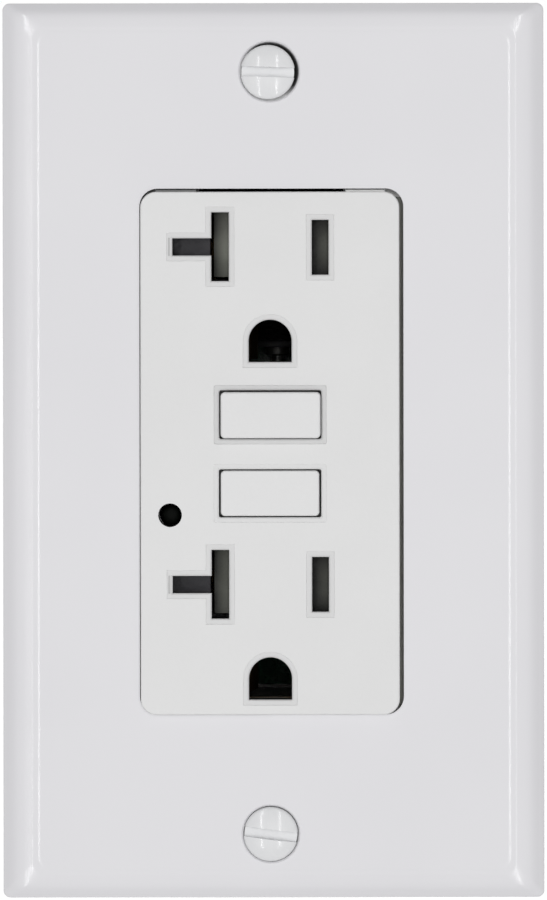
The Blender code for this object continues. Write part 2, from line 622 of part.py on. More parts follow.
def build_terminal(name, side, z, look):
    """Terminal plate with a foot into the housing, clamp plate inside it, and screw."""
    inward = -1 if z > 0 else 1        # along Z, towards the middle of the device
    axis = (0, TERM_Y, z)
    plate_x, clamp_x, head_x = 18.1, 16.75, 18.75
    part = side_box(side, plate_x - 0.5, plate_x + 0.5, 14.6, 25.2,
                    z - inward * 4.6, z + inward * 5.5)
    join(part, side_box(side, 11.3, 18.2, 16.0, 20.0, z + inward * 4.5, z + inward * 5.5))
    cut(part, rod_x(GROUND_BORE_R, side * 16, side * 20, axis, 18))
    finish(part, name + "_terminal", look, (side * plate_x, TERM_Y, z), smooth=30)

    part = side_box(side, clamp_x - 0.5, clamp_x + 0.5, 15.0, 24.5,
                    z - inward * 4.4, z + inward * 4.2)
    cut(part, rod_x(GROUND_BORE_R, side * 12, side * 20, axis, 18))
    finish(part, name + "_clamp", look, (side * clamp_x, TERM_Y, z), smooth=30)

    profile = [(0.4, 21.3), (2.6, 21.2), (3.6, 20.7), (4.0, 19.9), (4.0, 18.9), (1.95, 18.85),
               (1.95, 14.4), (1.5, 13.95)]     # radius, distance from the middle plane
    part = revolve([(radius, side * x) for radius, x in profile], "x", axis, 24)
    cut(part, *[side_box(side, 20.3, 22, TERM_Y - half_y, TERM_Y + half_y, z - half_z, z + half_z)
                for half_y, half_z in ((3.6, 0.55), (0.55, 2.2))])
    finish(part, name + "_screw", look, (side * head_x, TERM_Y, z), smooth=35)


# ------------------------------------------------------------------ trip works
def build_latch():
    part = box(-5.5, 5.5, 19.4, 26.8, 1.9, 7.6)
    join(part, box(-10.2, 10.2, 22.1, 23.3, 2.4, 6.9),
         *[side_box(side, 8.0, 10.2, 22.1, 25.0, 3.4, 5.9) for side in SIDES])
    cut(part, rod_y(1.7, 18, 28, 0, RESET_Z, 18), box(-2.9, 2.9, 22.9, 24.3, 0, 9))
    finish(part, "latch_block", BLACK_LATCH, (0, 23.0, RESET_Z), smooth=30)
    part = box(-2.6, 2.6, 23.2, 24.0, 0.9, 9.4)
    join(part, box(-2.6, 2.6, 21.6, 25.6, 8.8, 9.5))
    cut(part, box(-1.65, 1.65, 22, 25, 3.15, 7.95))
    finish(part, "latch_plate", STEEL, (0, 23.6, RESET_Z), smooth=30)


def build_solenoid():
    axis = (0, SOLENOID_Y, 0)
    pivot = (0, SOLENOID_Y, SOLENOID_Z)
    # Profiles: radius, z
    bobbin = [(1.9, 13.2), (4.6, 13.2), (4.6, 14.0), (2.5, 14.0), (2.5, 26.0), (4.6, 26.0),
              (4.6, 26.8), (1.9, 26.8)]
    winding = [(2.75, 14.25), (4.3, 14.25), (4.35, 20.0), (4.3, 25.75), (2.75, 25.75)]
    plunger = [(0.6, 9.75), (0.8, 9.95), (0.8, 12.0), (1.6, 12.2), (1.6, 30.9), (2.8, 30.95),
               (2.8, 31.9), (2.3, 32.2)]
    finish(revolve(bobbin, "z", axis, 24, closed=True), "solenoid_bobbin", BLACK_BOBBIN, pivot,
           smooth=35)
    finish(revolve(winding, "z", axis, 24, closed=True), "solenoid_winding", COPPER, pivot,
           smooth=35)
    finish(revolve(plunger, "z", axis, 20), "solenoid_plunger", STEEL, pivot, smooth=35)
    finish(coil(2.2, 0.22, 27.05, 30.7, 4, "z", axis), "plunger_spring", STEEL,
           (0, SOLENOID_Y, 27.0), smooth=70)


# ------------------------------------------------------------------ circuit board
def build_board():
    part = box(-12.0, 12.0, BOARD_Y0, BOARD_Y1, -32.0, 32.0)
    join(part, box(-18.9, 18.9, BOARD_Y0, BOARD_Y1, -9.4, 9.4))
    cut(part, rod_y(1.6, 27, 31, 0, SENSOR_Z, 14))
    finish(part, "circuit_board", GREEN_BOARD, smooth=30)


def build_sensor():
    """Ring-shaped transformer in front of the board."""
    profile = [(3.0, 19.6), (3.4, 19.2), (7.6, 19.2), (8.0, 19.6), (8.0, 28.0),
               (3.0, 28.0)]     # radius, y
    finish(revolve_y(profile, 0, SENSOR_Z, 28, closed=True), "sensor_transformer", BLACK_SENSOR,
           (0, 23.5, SENSOR_Z), smooth=35)


def build_varistor():
    """Disc standing on two legs."""
    x, y, z = 10.0, 24.0, -27.5
    profile = [(2.4, -1.4), (3.2, -1.1), (3.5, 0), (3.2, 1.1), (2.4, 1.4)]   # radius, x offset
    part = revolve(profile, "x", (x, y, z), 20)
    join(part, *[box(x - 0.2, x + 0.2, 26.0, 28.3, leg_z - 0.2, leg_z + 0.2)
                 for leg_z in (-29.4, -25.6)])
    finish(part, "varistor", ORANGE_DISC, smooth=35)


def build_capacitor():
    # width, height, corner radius, y
    sections = ((6.0, 3.8, 0.5, 22.0), (6.4, 4.2, 0.6, 22.3), (6.4, 4.2, 0.6, 28.2))
    part = loft_y([(rounded_rect(width, height, radius, 3, -9.0, -28.5), y)
                   for width, height, radius, y in sections])
    finish(part, "capacitor", RED_BROWN, smooth=35)


def build_chip():
    cx, cz, leg_pitch = 8.0, -4.0, 1.0
    # width, height, corner radius, y
    sections = ((4.4, 3.4, 0.2, 26.9), (5.0, 4.0, 0.3, 27.6), (5.0, 4.0, 0.3, 28.2))
    part = loft_y([(rounded_rect(width, height, radius, 2, cx, cz), y)
                   for width, height, radius, y in sections])
    legs = []
    for i in range(4):
        z = cz + (i - 1.5) * leg_pitch
        for side in SIDES:
            legs.append(box(cx + side * 2.0 if side > 0 else cx - 3.2,
                            cx + side * 3.2 if side > 0 else cx - 2.0,
                            27.7, 28.3, z - 0.18, z + 0.18))
    join(part, *legs)
    finish(part, "control_chip", BLACK_CHIP, smooth=30)


# ------------------------------------------------------------------ build
def build_all():
    build_wall_plate()
    build_plate_screw("plate_screw_upper", *PLATE_SCREWS[0], tilt=-2.0)
    build_plate_screw("plate_screw_lower", *PLATE_SCREWS[1], tilt=-7.0)
    build_face_cover()
    build_strap()
    for tag, z in zip(("upper", "lower"), BLADE_Z):
        build_ground_contact("ground_contact_" + tag, z - GROUND_DROP)
    build_box_screw("box_screw_upper", BOX_SCREW_Z)
    build_box_screw("box_screw_lower", -BOX_SCREW_Z)
    build_ground_screw()
    build_ground_clamp()
    build_middle_frame()
    build_rear_housing()
    for side_tag, x in (("left", -POST_X), ("right", POST_X)):
        for end_tag, z in (("upper", POST_Z), ("lower", -POST_Z)):
            build_housing_screw(f"housing_screw_{end_tag}_{side_tag}", x, z)
    build_reset()
    build_test()
    build_indicator()
    for tag, z in zip(("upper", "lower"), BLADE_Z):
        build_shutters(tag, z)
    for build in (build_bus, build_arm):
        kind = "bus" if build is build_bus else "arm"
        build("hot_contact_" + kind, 1)
        build("neutral_contact_" + kind, -1)
    for wire, side, look in (("hot", 1, BRASS), ("neutral", -1, NICKEL)):
        for feed, z in zip(("load", "line"), TERM_Z):
            build_terminal(f"{feed}_{wire}", side, z, look)
    build_latch()
    build_solenoid()
    build_board()
    build_sensor()
    build_varistor()
    build_capacitor()
    build_chip()


for old_object in list(bpy.data.objects):
    bpy.data.objects.remove(old_object, do_unlink=True)
build_all()
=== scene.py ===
"""Ground-fault receptacle with its wall plate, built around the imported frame.

Helper sizes are millimetres; meshes are written in metres in the frame's own axes:
+X right seen from the front, +Z up, the face looks along -Y, the wall is at Y = 6.4 mm.
"""
import json
import math

import bmesh
import bpy
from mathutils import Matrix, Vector

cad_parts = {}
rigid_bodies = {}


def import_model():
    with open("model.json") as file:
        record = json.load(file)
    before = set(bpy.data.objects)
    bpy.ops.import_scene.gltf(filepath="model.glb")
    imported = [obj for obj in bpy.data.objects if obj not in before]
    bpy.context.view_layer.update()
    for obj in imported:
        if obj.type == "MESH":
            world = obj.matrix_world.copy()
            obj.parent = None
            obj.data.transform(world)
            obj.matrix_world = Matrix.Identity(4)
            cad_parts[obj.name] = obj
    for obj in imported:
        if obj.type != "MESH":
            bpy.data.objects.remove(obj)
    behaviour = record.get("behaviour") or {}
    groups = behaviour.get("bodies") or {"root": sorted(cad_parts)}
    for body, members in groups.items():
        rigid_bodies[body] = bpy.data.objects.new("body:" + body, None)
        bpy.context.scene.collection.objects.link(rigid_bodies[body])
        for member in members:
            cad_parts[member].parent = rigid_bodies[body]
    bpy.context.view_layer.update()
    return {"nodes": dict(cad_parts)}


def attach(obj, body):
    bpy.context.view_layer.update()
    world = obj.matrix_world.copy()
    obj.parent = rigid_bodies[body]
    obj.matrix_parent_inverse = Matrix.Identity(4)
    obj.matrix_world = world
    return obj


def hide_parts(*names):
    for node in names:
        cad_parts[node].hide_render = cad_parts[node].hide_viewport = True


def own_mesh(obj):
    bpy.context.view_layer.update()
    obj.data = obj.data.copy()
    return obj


for _o in list(bpy.data.objects):
    bpy.data.objects.remove(_o, do_unlink=True)

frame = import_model()
NODES = frame["nodes"]
MM = 0.001

# ---- wall plate
PLATE_W, PLATE_H = 68.9, 113.9
PLATE_CX, PLATE_CZ = 0.36, 0.31           # plate sits a little right of and above the device
PLATE_FRONT, WALL_Y = 0.8, 6.4
PLATE_EDGE = ((0.12, 26), (0.9, 25), (1.25, 21), (1.55, 16), (1.95, 10), (2.35, 7), (2.9, 4.9), (3.35, 4.4),
              (3.6, 4.3), (3.68, 4.2), (3.78, 0.9), (4.0, 0.5), (4.34, 0.3), (4.42, 3.4), (4.52, 3.2), (4.62, 3.2), (4.72, 0.3), (4.80, 0.0))
                                          # slope in degrees at each distance in from the side edge
OPEN_W, OPEN_H, OPEN_R = 33.56, 66.86, 2.3
OPEN_CX, OPEN_CZ = 0.18, 0.19             # the face sits low in the opening
PLATE_SCREWS = ((-0.25, 48.42), (0.02, -48.42))
HOLE_SHIFT = ((0.18, 0.08, 3.74), (0.02, 0.0, 3.52))   # how far each hole sits off its screw, and its radius

# ---- receptacle face
FACE_W, FACE_H, FACE_R = 32.9, 66.4, 2.0
FLANGE_W, FLANGE_H = 43.4, 69.6
FLANGE_Y0, FLANGE_Y1 = 3.4, 8.6
BLADE_X = 6.35                            # half of the 12.7 mm blade pitch
OUTLET_Z = (26.13, -16.74)                 # blade centre lines
GROUND_DROP = 11.91                       # ground hole below its blade line
BTN_Z = (4.95, -5.04)                     # reset button, test button
WINDOWS = ((-6.46, 6.53, 1.90, 8.08), (-6.50, 6.52, -8.15, -2.03))   # x0, x1, z0, z1
RESET_X = 0.11
LED_X, LED_Z, LED_R = -12.69, -7.96, 1.50

# ---- strap and body
STRAP_Y0, STRAP_Y1 = 5.2, 6.4
BOX_SCREW_Z = 41.67                       # 83.34 mm device screw spacing
BODY_W, BODY_H = 43.0, 69.0
BODY_Y0, BODY_Y1 = 9.0, 33.0
POST_X, POST_Z = 17.8, 31.0               # housing screw axes
TERM_Z = (17.5, -17.5)                    # load terminals, line terminals
TERM_Y = 19.75
PITCH = 0.794                             # 32 threads per inch


# ------------------------------------------------------------------ mesh helpers
def obj_from(name, verts, faces):
    me = bpy.data.meshes.new(name)
    me.from_pydata([tuple(v) for v in verts], [], faces)
    me.validate()
    bm = bmesh.new()
    bm.from_mesh(me)
    bmesh.ops.recalc_face_normals(bm, faces=bm.faces)
    bm.to_mesh(me)
    bm.free()
    ob = bpy.data.objects.new(name, me)
    bpy.context.scene.collection.objects.link(ob)
    return ob


def rings(stack, name="t", closed=False):
    """Skin equal-length rings; cap the ends, or join them when closed."""
    n = len(stack[0])
    verts = [p for ring in stack for p in ring]
    faces = []
    m = len(stack)
    for k in range(m if closed else m - 1):
        a, b = k * n, ((k + 1) % m) * n
        for i in range(n):
            j = (i + 1) % n
            faces.append((a + i, a + j, b + j, b + i))
    if not closed:
        faces.append(tuple(range(n)))
        faces.append(tuple(range((m - 1) * n, m * n)))
    return obj_from(name, verts, faces)


def box(x0, x1, y0, y1, z0, z1):
    r = [(x0, z0), (x1, z0), (x1, z1), (x0, z1)]
    return rings([[(x, y0, z) for x, z in r], [(x, y1, z) for x, z in r]])


def rrect(w, h, r, cx=0.0, cz=0.0, n=6):
    pts = []
    for sx, sz, a0 in ((1, 1, 0), (-1, 1, 90), (-1, -1, 180), (1, -1, 270)):
        for k in range(n + 1):
            a = math.radians(a0 + 90.0 * k / n)
            pts.append((cx + sx * (w / 2 - r) + r * math.cos(a), cz + sz * (h / 2 - r) + r * math.sin(a)))
    return pts


def prism_y(poly, y0, y1):
    return rings([[(x, y0, z) for x, z in poly], [(x, y1, z) for x, z in poly]])


def loft_y(sections):
    """sections: (poly, y) pairs with equal point counts."""
    return rings([[(x, y, z) for x, z in poly] for poly, y in sections])


def prism_z(poly, z0, z1):
    return rings([[(x, y, z0) for x, y in poly], [(x, y, z1) for x, y in poly]])


def prism_x(poly, x0, x1):
    return rings([[(x0, y, z) for y, z in poly], [(x1, y, z) for y, z in poly]])


def turn(profile, axis="y", c=(0, 0, 0), n=24, closed=False, phase=0.5):
    """Revolve (r, t) points about an axis through c; t runs along the axis."""
    stack = []
    for r, t in profile:
        ring = []
        for i in range(n):
            a = 2 * math.pi * (i + phase) / n
            u, v = r * math.cos(a), r * math.sin(a)
            if axis == "y":
                ring.append((c[0] + u, c[1] + t, c[2] + v))
            elif axis == "x":
                ring.append((c[0] + t, c[1] + u, c[2] + v))
            else:
                ring.append((c[0] + u, c[1] + v, c[2] + t))
        stack.append(ring)
    return rings(stack, closed=closed)


def cyl(r, t0, t1, axis="y", c=(0, 0, 0), n=24):
    return turn([(r, t0), (r, t1)], axis, c, n)


def coil(r, wire, t0, t1, turns, axis="y", c=(0, 0, 0), per=9, sides=5):
    stack = []
    total = int(turns * per)
    for k in range(total + 1):
        a = 2 * math.pi * k / per
        t = t0 + wire + (t1 - t0 - 2 * wire) * k / total
        ring = []
        for s in range(sides):
            b = 2 * math.pi * s / sides
            rr, tt = r + wire * math.cos(b), t + wire * math.sin(b)
            u, v = rr * math.cos(a), rr * math.sin(a)
            if axis == "y":
                ring.append((c[0] + u, c[1] + tt, c[2] + v))
            elif axis == "x":
                ring.append((c[0] + tt, c[1] + u, c[2] + v))
            else:
                ring.append((c[0] + u, c[1] + v, c[2] + tt))
        stack.append(ring)
    return rings(stack)


def _boolean(ob, others, op):
    coll = bpy.data.collections.new("operands")
    for o in others:
        for c in list(o.users_collection):
            c.objects.unlink(o)
        coll.objects.link(o)
    bpy.context.scene.collection.children.link(coll)
    m = ob.modifiers.new("b", "BOOLEAN")
    m.operation = op
    m.solver = "EXACT"
    m.operand_type = "COLLECTION"
    m.collection = coll
    m.use_self = op == "UNION"
    dg = bpy.context.evaluated_depsgraph_get()
    dg.update()
    me = bpy.data.meshes.new_from_object(ob.evaluated_get(dg))
    ob.modifiers.clear()
    old = ob.data
    ob.data = me
    bpy.data.meshes.remove(old)
    for o in others:
        bpy.data.objects.remove(o, do_unlink=True)
    bpy.data.collections.remove(coll)
    return ob


def cut(ob, *others):
    return _boolean(ob, list(others), "DIFFERENCE")


def join(ob, *others):
    return _boolean(ob, list(others), "UNION")


# ------------------------------------------------------------------ shared outlines
def d_hole(cz, grow=0.0, n=14):
    """Ground hole: round top, flat bottom."""
    r = 2.74 + grow
    low = 2.73 + grow
    pts = [(-r, cz - low), (r, cz - low)]
    for k in range(n + 1):
        a = math.pi * k / n
        pts.append((r * math.cos(a), cz + r * math.sin(a)))
    return pts


def t_slot(cz, grow=0.0):
    """Neutral T-slot: tall slot with a leg running outwards."""
    g = grow
    xl, xv0, xv1 = -12.43 - g, -7.48 - g, -5.24 + g
    hz, l0, l1 = 4.375 + g, 1.13 + g, 1.08 + g
    return [(xl, cz - l0), (xv0, cz - l0), (xv0, cz - hz), (xv1, cz - hz),
            (xv1, cz + hz), (xv0, cz + hz), (xv0, cz + l1), (xl, cz + l1)]


def hot_slot(cz, grow=0.0):
    g = grow
    return [(5.28 - g, cz - 3.50 - g), (7.43 + g, cz - 3.50 - g), (7.43 + g, cz + 3.48 + g), (5.28 - g, cz + 3.48 + g)]






# ---- light and camera
W_BASE, W_FRONT, W_POW, W_LOW = 0.300, 1.635, 6.0, 0.152
W_BACK = 0.72
STRIPS = (("strip_left", -0.140, -0.520, 0.0, 0.012, 0.60, 0.24), ("strip_right", 0.090, -0.520, 0.0, 0.012, 0.60, 0.24))
CAM = (0.02415, -0.520, 0.02082)
CAM_ROLL = 0.075
CAM_SHIFT = (-0.2072, -0.1789)
# painted shade: grey tones for the flange seen in the gap round the face
FLANGE_SIDE_SHADE, FLANGE_END_SHADE = (0.32, 0.32, 0.29), (0.30, 0.30, 0.30)

# ------------------------------------------------------------------ materials
class Nodes:
    """Small helper for building a material's node tree."""

    def __init__(self, name):
        self.mat = bpy.data.materials.new(name)
        self.mat.use_nodes = True
        self.t = self.mat.node_tree
        self.b = self.t.nodes["Principled BSDF"]
        self.co = self.t.nodes.new("ShaderNodeTexCoord").outputs["Object"]

    def node(self, kind, **values):
        n = self.t.nodes.new(kind)
        for k, v in values.items():
            if k in n.inputs:
                n.inputs[k].default_value = v
            else:
                setattr(n, k, v)
        return n

    def link(self, a, b):
        self.t.links.new(a, b)

    def noise(self, scale, detail=3.0, rough=0.5, stretch=None, distortion=0.0):
        n = self.node("ShaderNodeTexNoise")
        n.inputs["Scale"].default_value = scale
        n.inputs["Detail"].default_value = detail
        n.inputs["Roughness"].default_value = rough
        n.inputs["Distortion"].default_value = distortion
        if stretch:
            m = self.node("ShaderNodeMapping")
            m.inputs["Scale"].default_value = stretch
            self.link(self.co, m.inputs["Vector"])
            self.link(m.outputs["Vector"], n.inputs["Vector"])
        else:
            self.link(self.co, n.inputs["Vector"])
        return n.outputs["Fac"]

    def voronoi(self, scale, feature="F1", stretch=None):
        n = self.node("ShaderNodeTexVoronoi", feature=feature)
        n.inputs["Scale"].default_value = scale
        if stretch:
            m = self.node("ShaderNodeMapping")
            m.inputs["Scale"].default_value = stretch
            self.link(self.co, m.inputs["Vector"])
            self.link(m.outputs["Vector"], n.inputs["Vector"])
        else:
            self.link(self.co, n.inputs["Vector"])
        return n.outputs["Distance"]

    def wave(self, scale, direction="Z", distortion=0.0, kind="BANDS"):
        n = self.node("ShaderNodeTexWave", wave_type=kind)
        if kind == "BANDS":
            n.bands_direction = direction
        else:
            n.rings_direction = direction
        n.inputs["Scale"].default_value = scale
        n.inputs["Distortion"].default_value = distortion
        self.link(self.co, n.inputs["Vector"])
        return n.outputs["Fac"]

    def span(self, value, a0, a1, b0, b1, smooth=False):
        """Map a0..a1 to b0..b1, clamped."""
        n = self.node("ShaderNodeMapRange")
        if smooth:
            n.interpolation_type = "SMOOTHSTEP"
        self.link(value, n.inputs["Value"])
        for k, v in (("From Min", a0), ("From Max", a1), ("To Min", b0), ("To Max", b1)):
            n.inputs[k].default_value = v
        return n.outputs["Result"]

    def math(self, op, a, b=None):
        n = self.node("ShaderNodeMath", operation=op)
        for k, v in enumerate((a, b)):
            if v is None:
                continue
            if isinstance(v, (int, float)):
                n.inputs[k].default_value = v
            else:
                self.link(v, n.inputs[k])
        return n.outputs[0]

    def axis(self, which):
        n = self.node("ShaderNodeSeparateXYZ")
        self.link(self.co, n.inputs[0])
        return n.outputs[which]

    def mix(self, fac, a, b, blend="MIX"):
        n = self.node("ShaderNodeMix", data_type="RGBA")
        n.blend_type = blend
        fi = [i for i in n.inputs if i.name == "Factor" and i.type == "VALUE"][0]
        ai = [i for i in n.inputs if i.name == "A" and i.type == "RGBA"][0]
        bi = [i for i in n.inputs if i.name == "B" and i.type == "RGBA"][0]
        for sock, v in ((fi, fac), (ai, a), (bi, b)):
            if isinstance(v, (int, float)):
                sock.default_value = v
            elif isinstance(v, tuple):
                sock.default_value = (v[0], v[1], v[2], 1.0)
            else:
                self.link(v, sock)
        return [o for o in n.outputs if o.type == "RGBA"][0]

    def bump(self, height, distance, strength=1.0, after=None):
        n = self.node("ShaderNodeBump")
        n.inputs["Distance"].default_value = distance
        n.inputs["Strength"].default_value = strength
        self.link(height, n.inputs["Height"])
        if after is not None:
            self.link(after, n.inputs["Normal"])
        return n.outputs["Normal"]

    def crevice(self, distance, samples=6):
        """1 in the open, lower in corners and gaps."""
        n = self.node("ShaderNodeAmbientOcclusion", samples=samples)
        n.inputs["Distance"].default_value = distance
        return n.outputs["AO"]

    def facing_up(self):
        g = self.node("ShaderNodeNewGeometry")
        n = self.node("ShaderNodeSeparateXYZ")
        self.link(g.outputs["Normal"], n.inputs[0])
        return n.outputs

    def finish(self, color=None, rough=None, normal=None, metal=0.0, ior=1.46, coat=0.0, coat_rough=0.08, spec=0.5, sub=0.0):
        b = self.b
        if color is not None:
            if isinstance(color, tuple):
                b.inputs["Base Color"].default_value = (color[0], color[1], color[2], 1.0)
            else:
                self.link(color, b.inputs["Base Color"])
        if rough is not None:
            if isinstance(rough, (int, float)):
                b.inputs["Roughness"].default_value = rough
            else:
                self.link(rough, b.inputs["Roughness"])
        if normal is not None:
            self.link(normal, b.inputs["Normal"])
        b.inputs["Metallic"].default_value = metal
        b.inputs["IOR"].default_value = ior
        b.inputs["Specular IOR Level"].default_value = spec
        b.inputs["Coat Weight"].default_value = coat
        b.inputs["Coat Roughness"].default_value = coat_rough
        if sub:
            b.inputs["Subsurface Weight"].default_value = sub
            b.inputs["Subsurface Radius"].default_value = (1.0, 0.9, 0.8)
            b.inputs["Subsurface Scale"].default_value = 0.0004
        return self.mat


def moulded(name, low, high, r0, r1, peel=0.0000012, grain=0.0000006, spec=0.5, crevice_shade=0.93, gap=None, coat=0.0, cloud=38.0):
    """Moulded plastic: slow tone drift, faint orange peel, fine grain, painted shade darkening the corners and gaps.
    """
    m = Nodes(name)
    tone = m.mix(m.span(m.noise(cloud, 2.0), 0.35, 0.65, 0.0, 1.0, True), low, high)
    fleck = m.span(m.noise(5200.0, 2.0), 0.66, 0.80, 0.0, 0.05)
    tone = m.mix(fleck, tone, tuple(c * 0.8 for c in low))
    # painted shade: base colour darkened in corners and gaps by ambient occlusion
    if crevice_shade < 1.0:
        ao = m.span(m.crevice(0.0008), 0.0, 0.75, crevice_shade, 1.0)
        grey = m.node("ShaderNodeCombineColor")
        for k in range(3):
            m.link(ao, grey.inputs[k])
        tone = m.mix(1.0, tone, grey.outputs[0], "MULTIPLY")
    if gap:
        tone = gap(m, tone)
    rough = m.span(m.noise(140.0, 4.0, 0.6), 0.3, 0.7, r0, r1)
    n = m.bump(m.noise(1400.0, 2.0, 0.45), peel * 400, 0.1)
    n = m.bump(m.noise(9000.0, 1.0), grain * 400, 0.06, n)
    return m.finish(tone, rough, n, ior=1.49, spec=spec, coat=coat)


def metal(name, low, high, r0, r1, brush=(1, 1, 60), scratch=0.5, stain=None, depth=0.0004, corner_shade=0.75):
    """Sheet or turned metal: directional grain, cloudy tone, painted shade darkening the corners, a few scratches."""
    m = Nodes(name)
    tone = m.mix(m.span(m.noise(240.0, 5.0, 0.62), 0.32, 0.68, 0.0, 1.0), low, high)
    if stain:
        spots = m.span(m.noise(620.0, 3.0, 0.7), 0.58, 0.74, 0.0, 0.55)
        tone = m.mix(spots, tone, stain)
    # painted shade: base colour darkened in corners by ambient occlusion
    ao = m.span(m.crevice(0.0009), 0.0, 0.8, corner_shade, 1.0)
    grey = m.node("ShaderNodeCombineColor")
    for k in range(3):
        m.link(ao, grey.inputs[k])
    tone = m.mix(1.0, tone, grey.outputs[0], "MULTIPLY")
    grain = m.noise(900.0, 3.0, 0.6, stretch=brush)
    rough = m.span(m.math("ADD", m.math("MULTIPLY", grain, 0.5), m.math("MULTIPLY", m.noise(300.0, 4.0), 0.5)), 0.3, 0.7, r0, r1)
    lines = m.span(m.noise(2600.0, 2.0, 0.5, stretch=(brush[2], brush[0], brush[1])), 0.60, 0.64, 0.0, scratch)
    n = m.bump(grain, depth, 0.10)
    n = m.bump(lines, depth, 0.05, n)
    return m.finish(tone, rough, n, metal=1.0)


def shade_below(y0, y1, colour):
    """Painted shade: everything deeper than y0..y1 turns to a dark tone."""
    def run(m, tone):
        return m.mix(m.span(m.axis(1), y0 * MM, y1 * MM, 0.0, 1.0, True), tone, colour)
    return run


def face_depths(m, tone):
    """Painted shade by depth: borders of the openings a shade darker (darker round the proud reset button, paler round
    the test button, a dark line in the groove beside each leg); walls of the slots and holes near black; window walls
    dark grey with paler lower walls; the flange in the gap round the face a painted shaded grey, paler at the ends."""
    x, y, z = m.axis(0), m.axis(1), m.axis(2)
    ax = m.math("ABSOLUTE", x)
    az = m.math("ABSOLUTE", z)
    side = m.math("GREATER_THAN", ax, 16.1 * MM)
    end = m.math("GREATER_THAN", az, 32.6 * MM)
    outside = m.math("MAXIMUM", side, end)
    # borders: painted shade on the recessed bands round the openings
    band = m.math("MULTIPLY", m.span(y, 0.030 * MM, 0.045 * MM, 0.0, 1.0), m.math("SUBTRACT", 1.0, outside))
    near = m.math("LESS_THAN", ax, 8.2 * MM)
    up = m.math("MULTIPLY", near, m.math("MULTIPLY", m.math("GREATER_THAN", z, 0.0), m.math("LESS_THAN", z, 9.2 * MM)))
    down = m.math("MULTIPLY", near, m.math("MULTIPLY", m.math("LESS_THAN", z, 0.0), m.math("GREATER_THAN", z, -9.2 * MM)))
    level = m.math("SUBTRACT", 0.905, m.math("MULTIPLY", up, 0.065))
    level = m.math("ADD", level, m.math("MULTIPLY", down, 0.055))
    tick = m.math("MULTIPLY", m.span(y, 0.11 * MM, 0.14 * MM, 0.0, 1.0),
                  m.math("MULTIPLY", m.math("LESS_THAN", x, -12.60 * MM), m.math("GREATER_THAN", x, -12.95 * MM)))
    level = m.math("SUBTRACT", level, m.math("MULTIPLY", tick, 0.24))
    level = m.math("ADD", 1.0, m.math("MULTIPLY", band, m.math("SUBTRACT", level, 1.0)))
    grey = m.node("ShaderNodeCombineColor")
    for k in range(3):
        m.link(level, grey.inputs[k])
    tone = m.mix(1.0, tone, grey.outputs[0], "MULTIPLY")
    # walls and flange: painted shade deep in the openings and in the gap round the face
    rim = m.mix(end, FLANGE_SIDE_SHADE, FLANGE_END_SHADE)
    rim = m.mix(m.math("MULTIPLY", end, m.math("GREATER_THAN", x, 0.0)), rim, (0.80, 0.80, 0.79))
    wall = m.mix(m.math("MAXIMUM", up, down), (0.012, 0.012, 0.011), (0.06, 0.06, 0.056))
    foot = m.math("MULTIPLY", up, m.math("LESS_THAN", z, 2.3 * MM))
    wall = m.mix(foot, wall, (0.50, 0.50, 0.49))
    foot = m.math("MULTIPLY", down, m.math("LESS_THAN", z, -7.7 * MM))
    wall = m.mix(foot, wall, (0.24, 0.24, 0.23))
    dark = m.mix(outside, wall, rim)
    fac = m.span(y, 0.34 * MM, 0.9 * MM, 0.0, 1.0, True)
    back = m.span(y, 4.2 * MM, 4.6 * MM, 1.0, 0.0, True)
    return m.mix(m.math("MULTIPLY", fac, back), tone, dark)


def plate_depths(m, tone):
    """Painted shade inside the screw holes: a dark crescent on the upper right of the top one, a soft grey elsewhere.
    """
    x, z = m.axis(0), m.axis(2)
    dz = m.math("SUBTRACT", m.math("ABSOLUTE", z), 48.42 * MM)
    d = m.math("SQRT", m.math("ADD", m.math("MULTIPLY", x, x), m.math("MULTIPLY", dz, dz)))
    near = m.span(d, 4.25 * MM, 4.35 * MM, 1.0, 0.0)
    deep = m.span(m.axis(1), 0.85 * MM, 1.3 * MM, 0.0, 1.0, True)
    lean = m.span(m.math("ADD", x, dz), -1.2 * MM, 1.4 * MM, 0.0, 1.0)
    lean = m.math("MULTIPLY", lean, m.math("GREATER_THAN", z, 0.0))
    dark = m.mix(lean, (0.80, 0.80, 0.80), (0.030, 0.030, 0.030))
    return m.mix(m.math("MULTIPLY", near, deep), tone, dark)


def shutter_shade(cz, lift):
    """Painted shade on each blade opening's shutter: dark at its left, paler at its right, palest halfway up."""
    def run(m, tone):
        x = m.axis(0)
        left = m.span(x, -7.0 * MM, -5.6 * MM, 0.40, 1.95)
        left = m.math("MULTIPLY", left, m.span(x, -5.55 * MM, -5.2 * MM, 1.0, 0.78))
        right = m.span(x, 5.45 * MM, 7.05 * MM, 0.03, 0.92)
        right = m.math("MULTIPLY", right, m.span(x, 7.05 * MM, 7.4 * MM, 1.0, 0.62))
        pick = m.math("GREATER_THAN", x, 0.0)
        val = m.math("ADD", m.math("MULTIPLY", left, m.math("SUBTRACT", 1.0, pick)), m.math("MULTIPLY", right, pick))
        dz = m.math("ABSOLUTE", m.math("SUBTRACT", m.axis(2), cz * MM))
        val = m.math("MULTIPLY", val, m.span(dz, 0.2 * MM, 3.6 * MM, 1.0 + lift, 1.0, True))
        ends = m.span(dz, 1.2 * MM, 3.5 * MM, 1.0, 0.30)
        val = m.math("MULTIPLY", val, m.math("MAXIMUM", ends, m.math("SUBTRACT", 1.0, pick)))
        if cz < 0:
            val = m.math("MULTIPLY", val, m.math("ADD", 0.76, m.math("MULTIPLY", pick, 0.24)))
        grey = m.node("ShaderNodeCombineColor")
        for k in range(3):
            m.link(val, grey.inputs[k])
        return m.mix(1.0, tone, grey.outputs[0], "MULTIPLY")
    return run


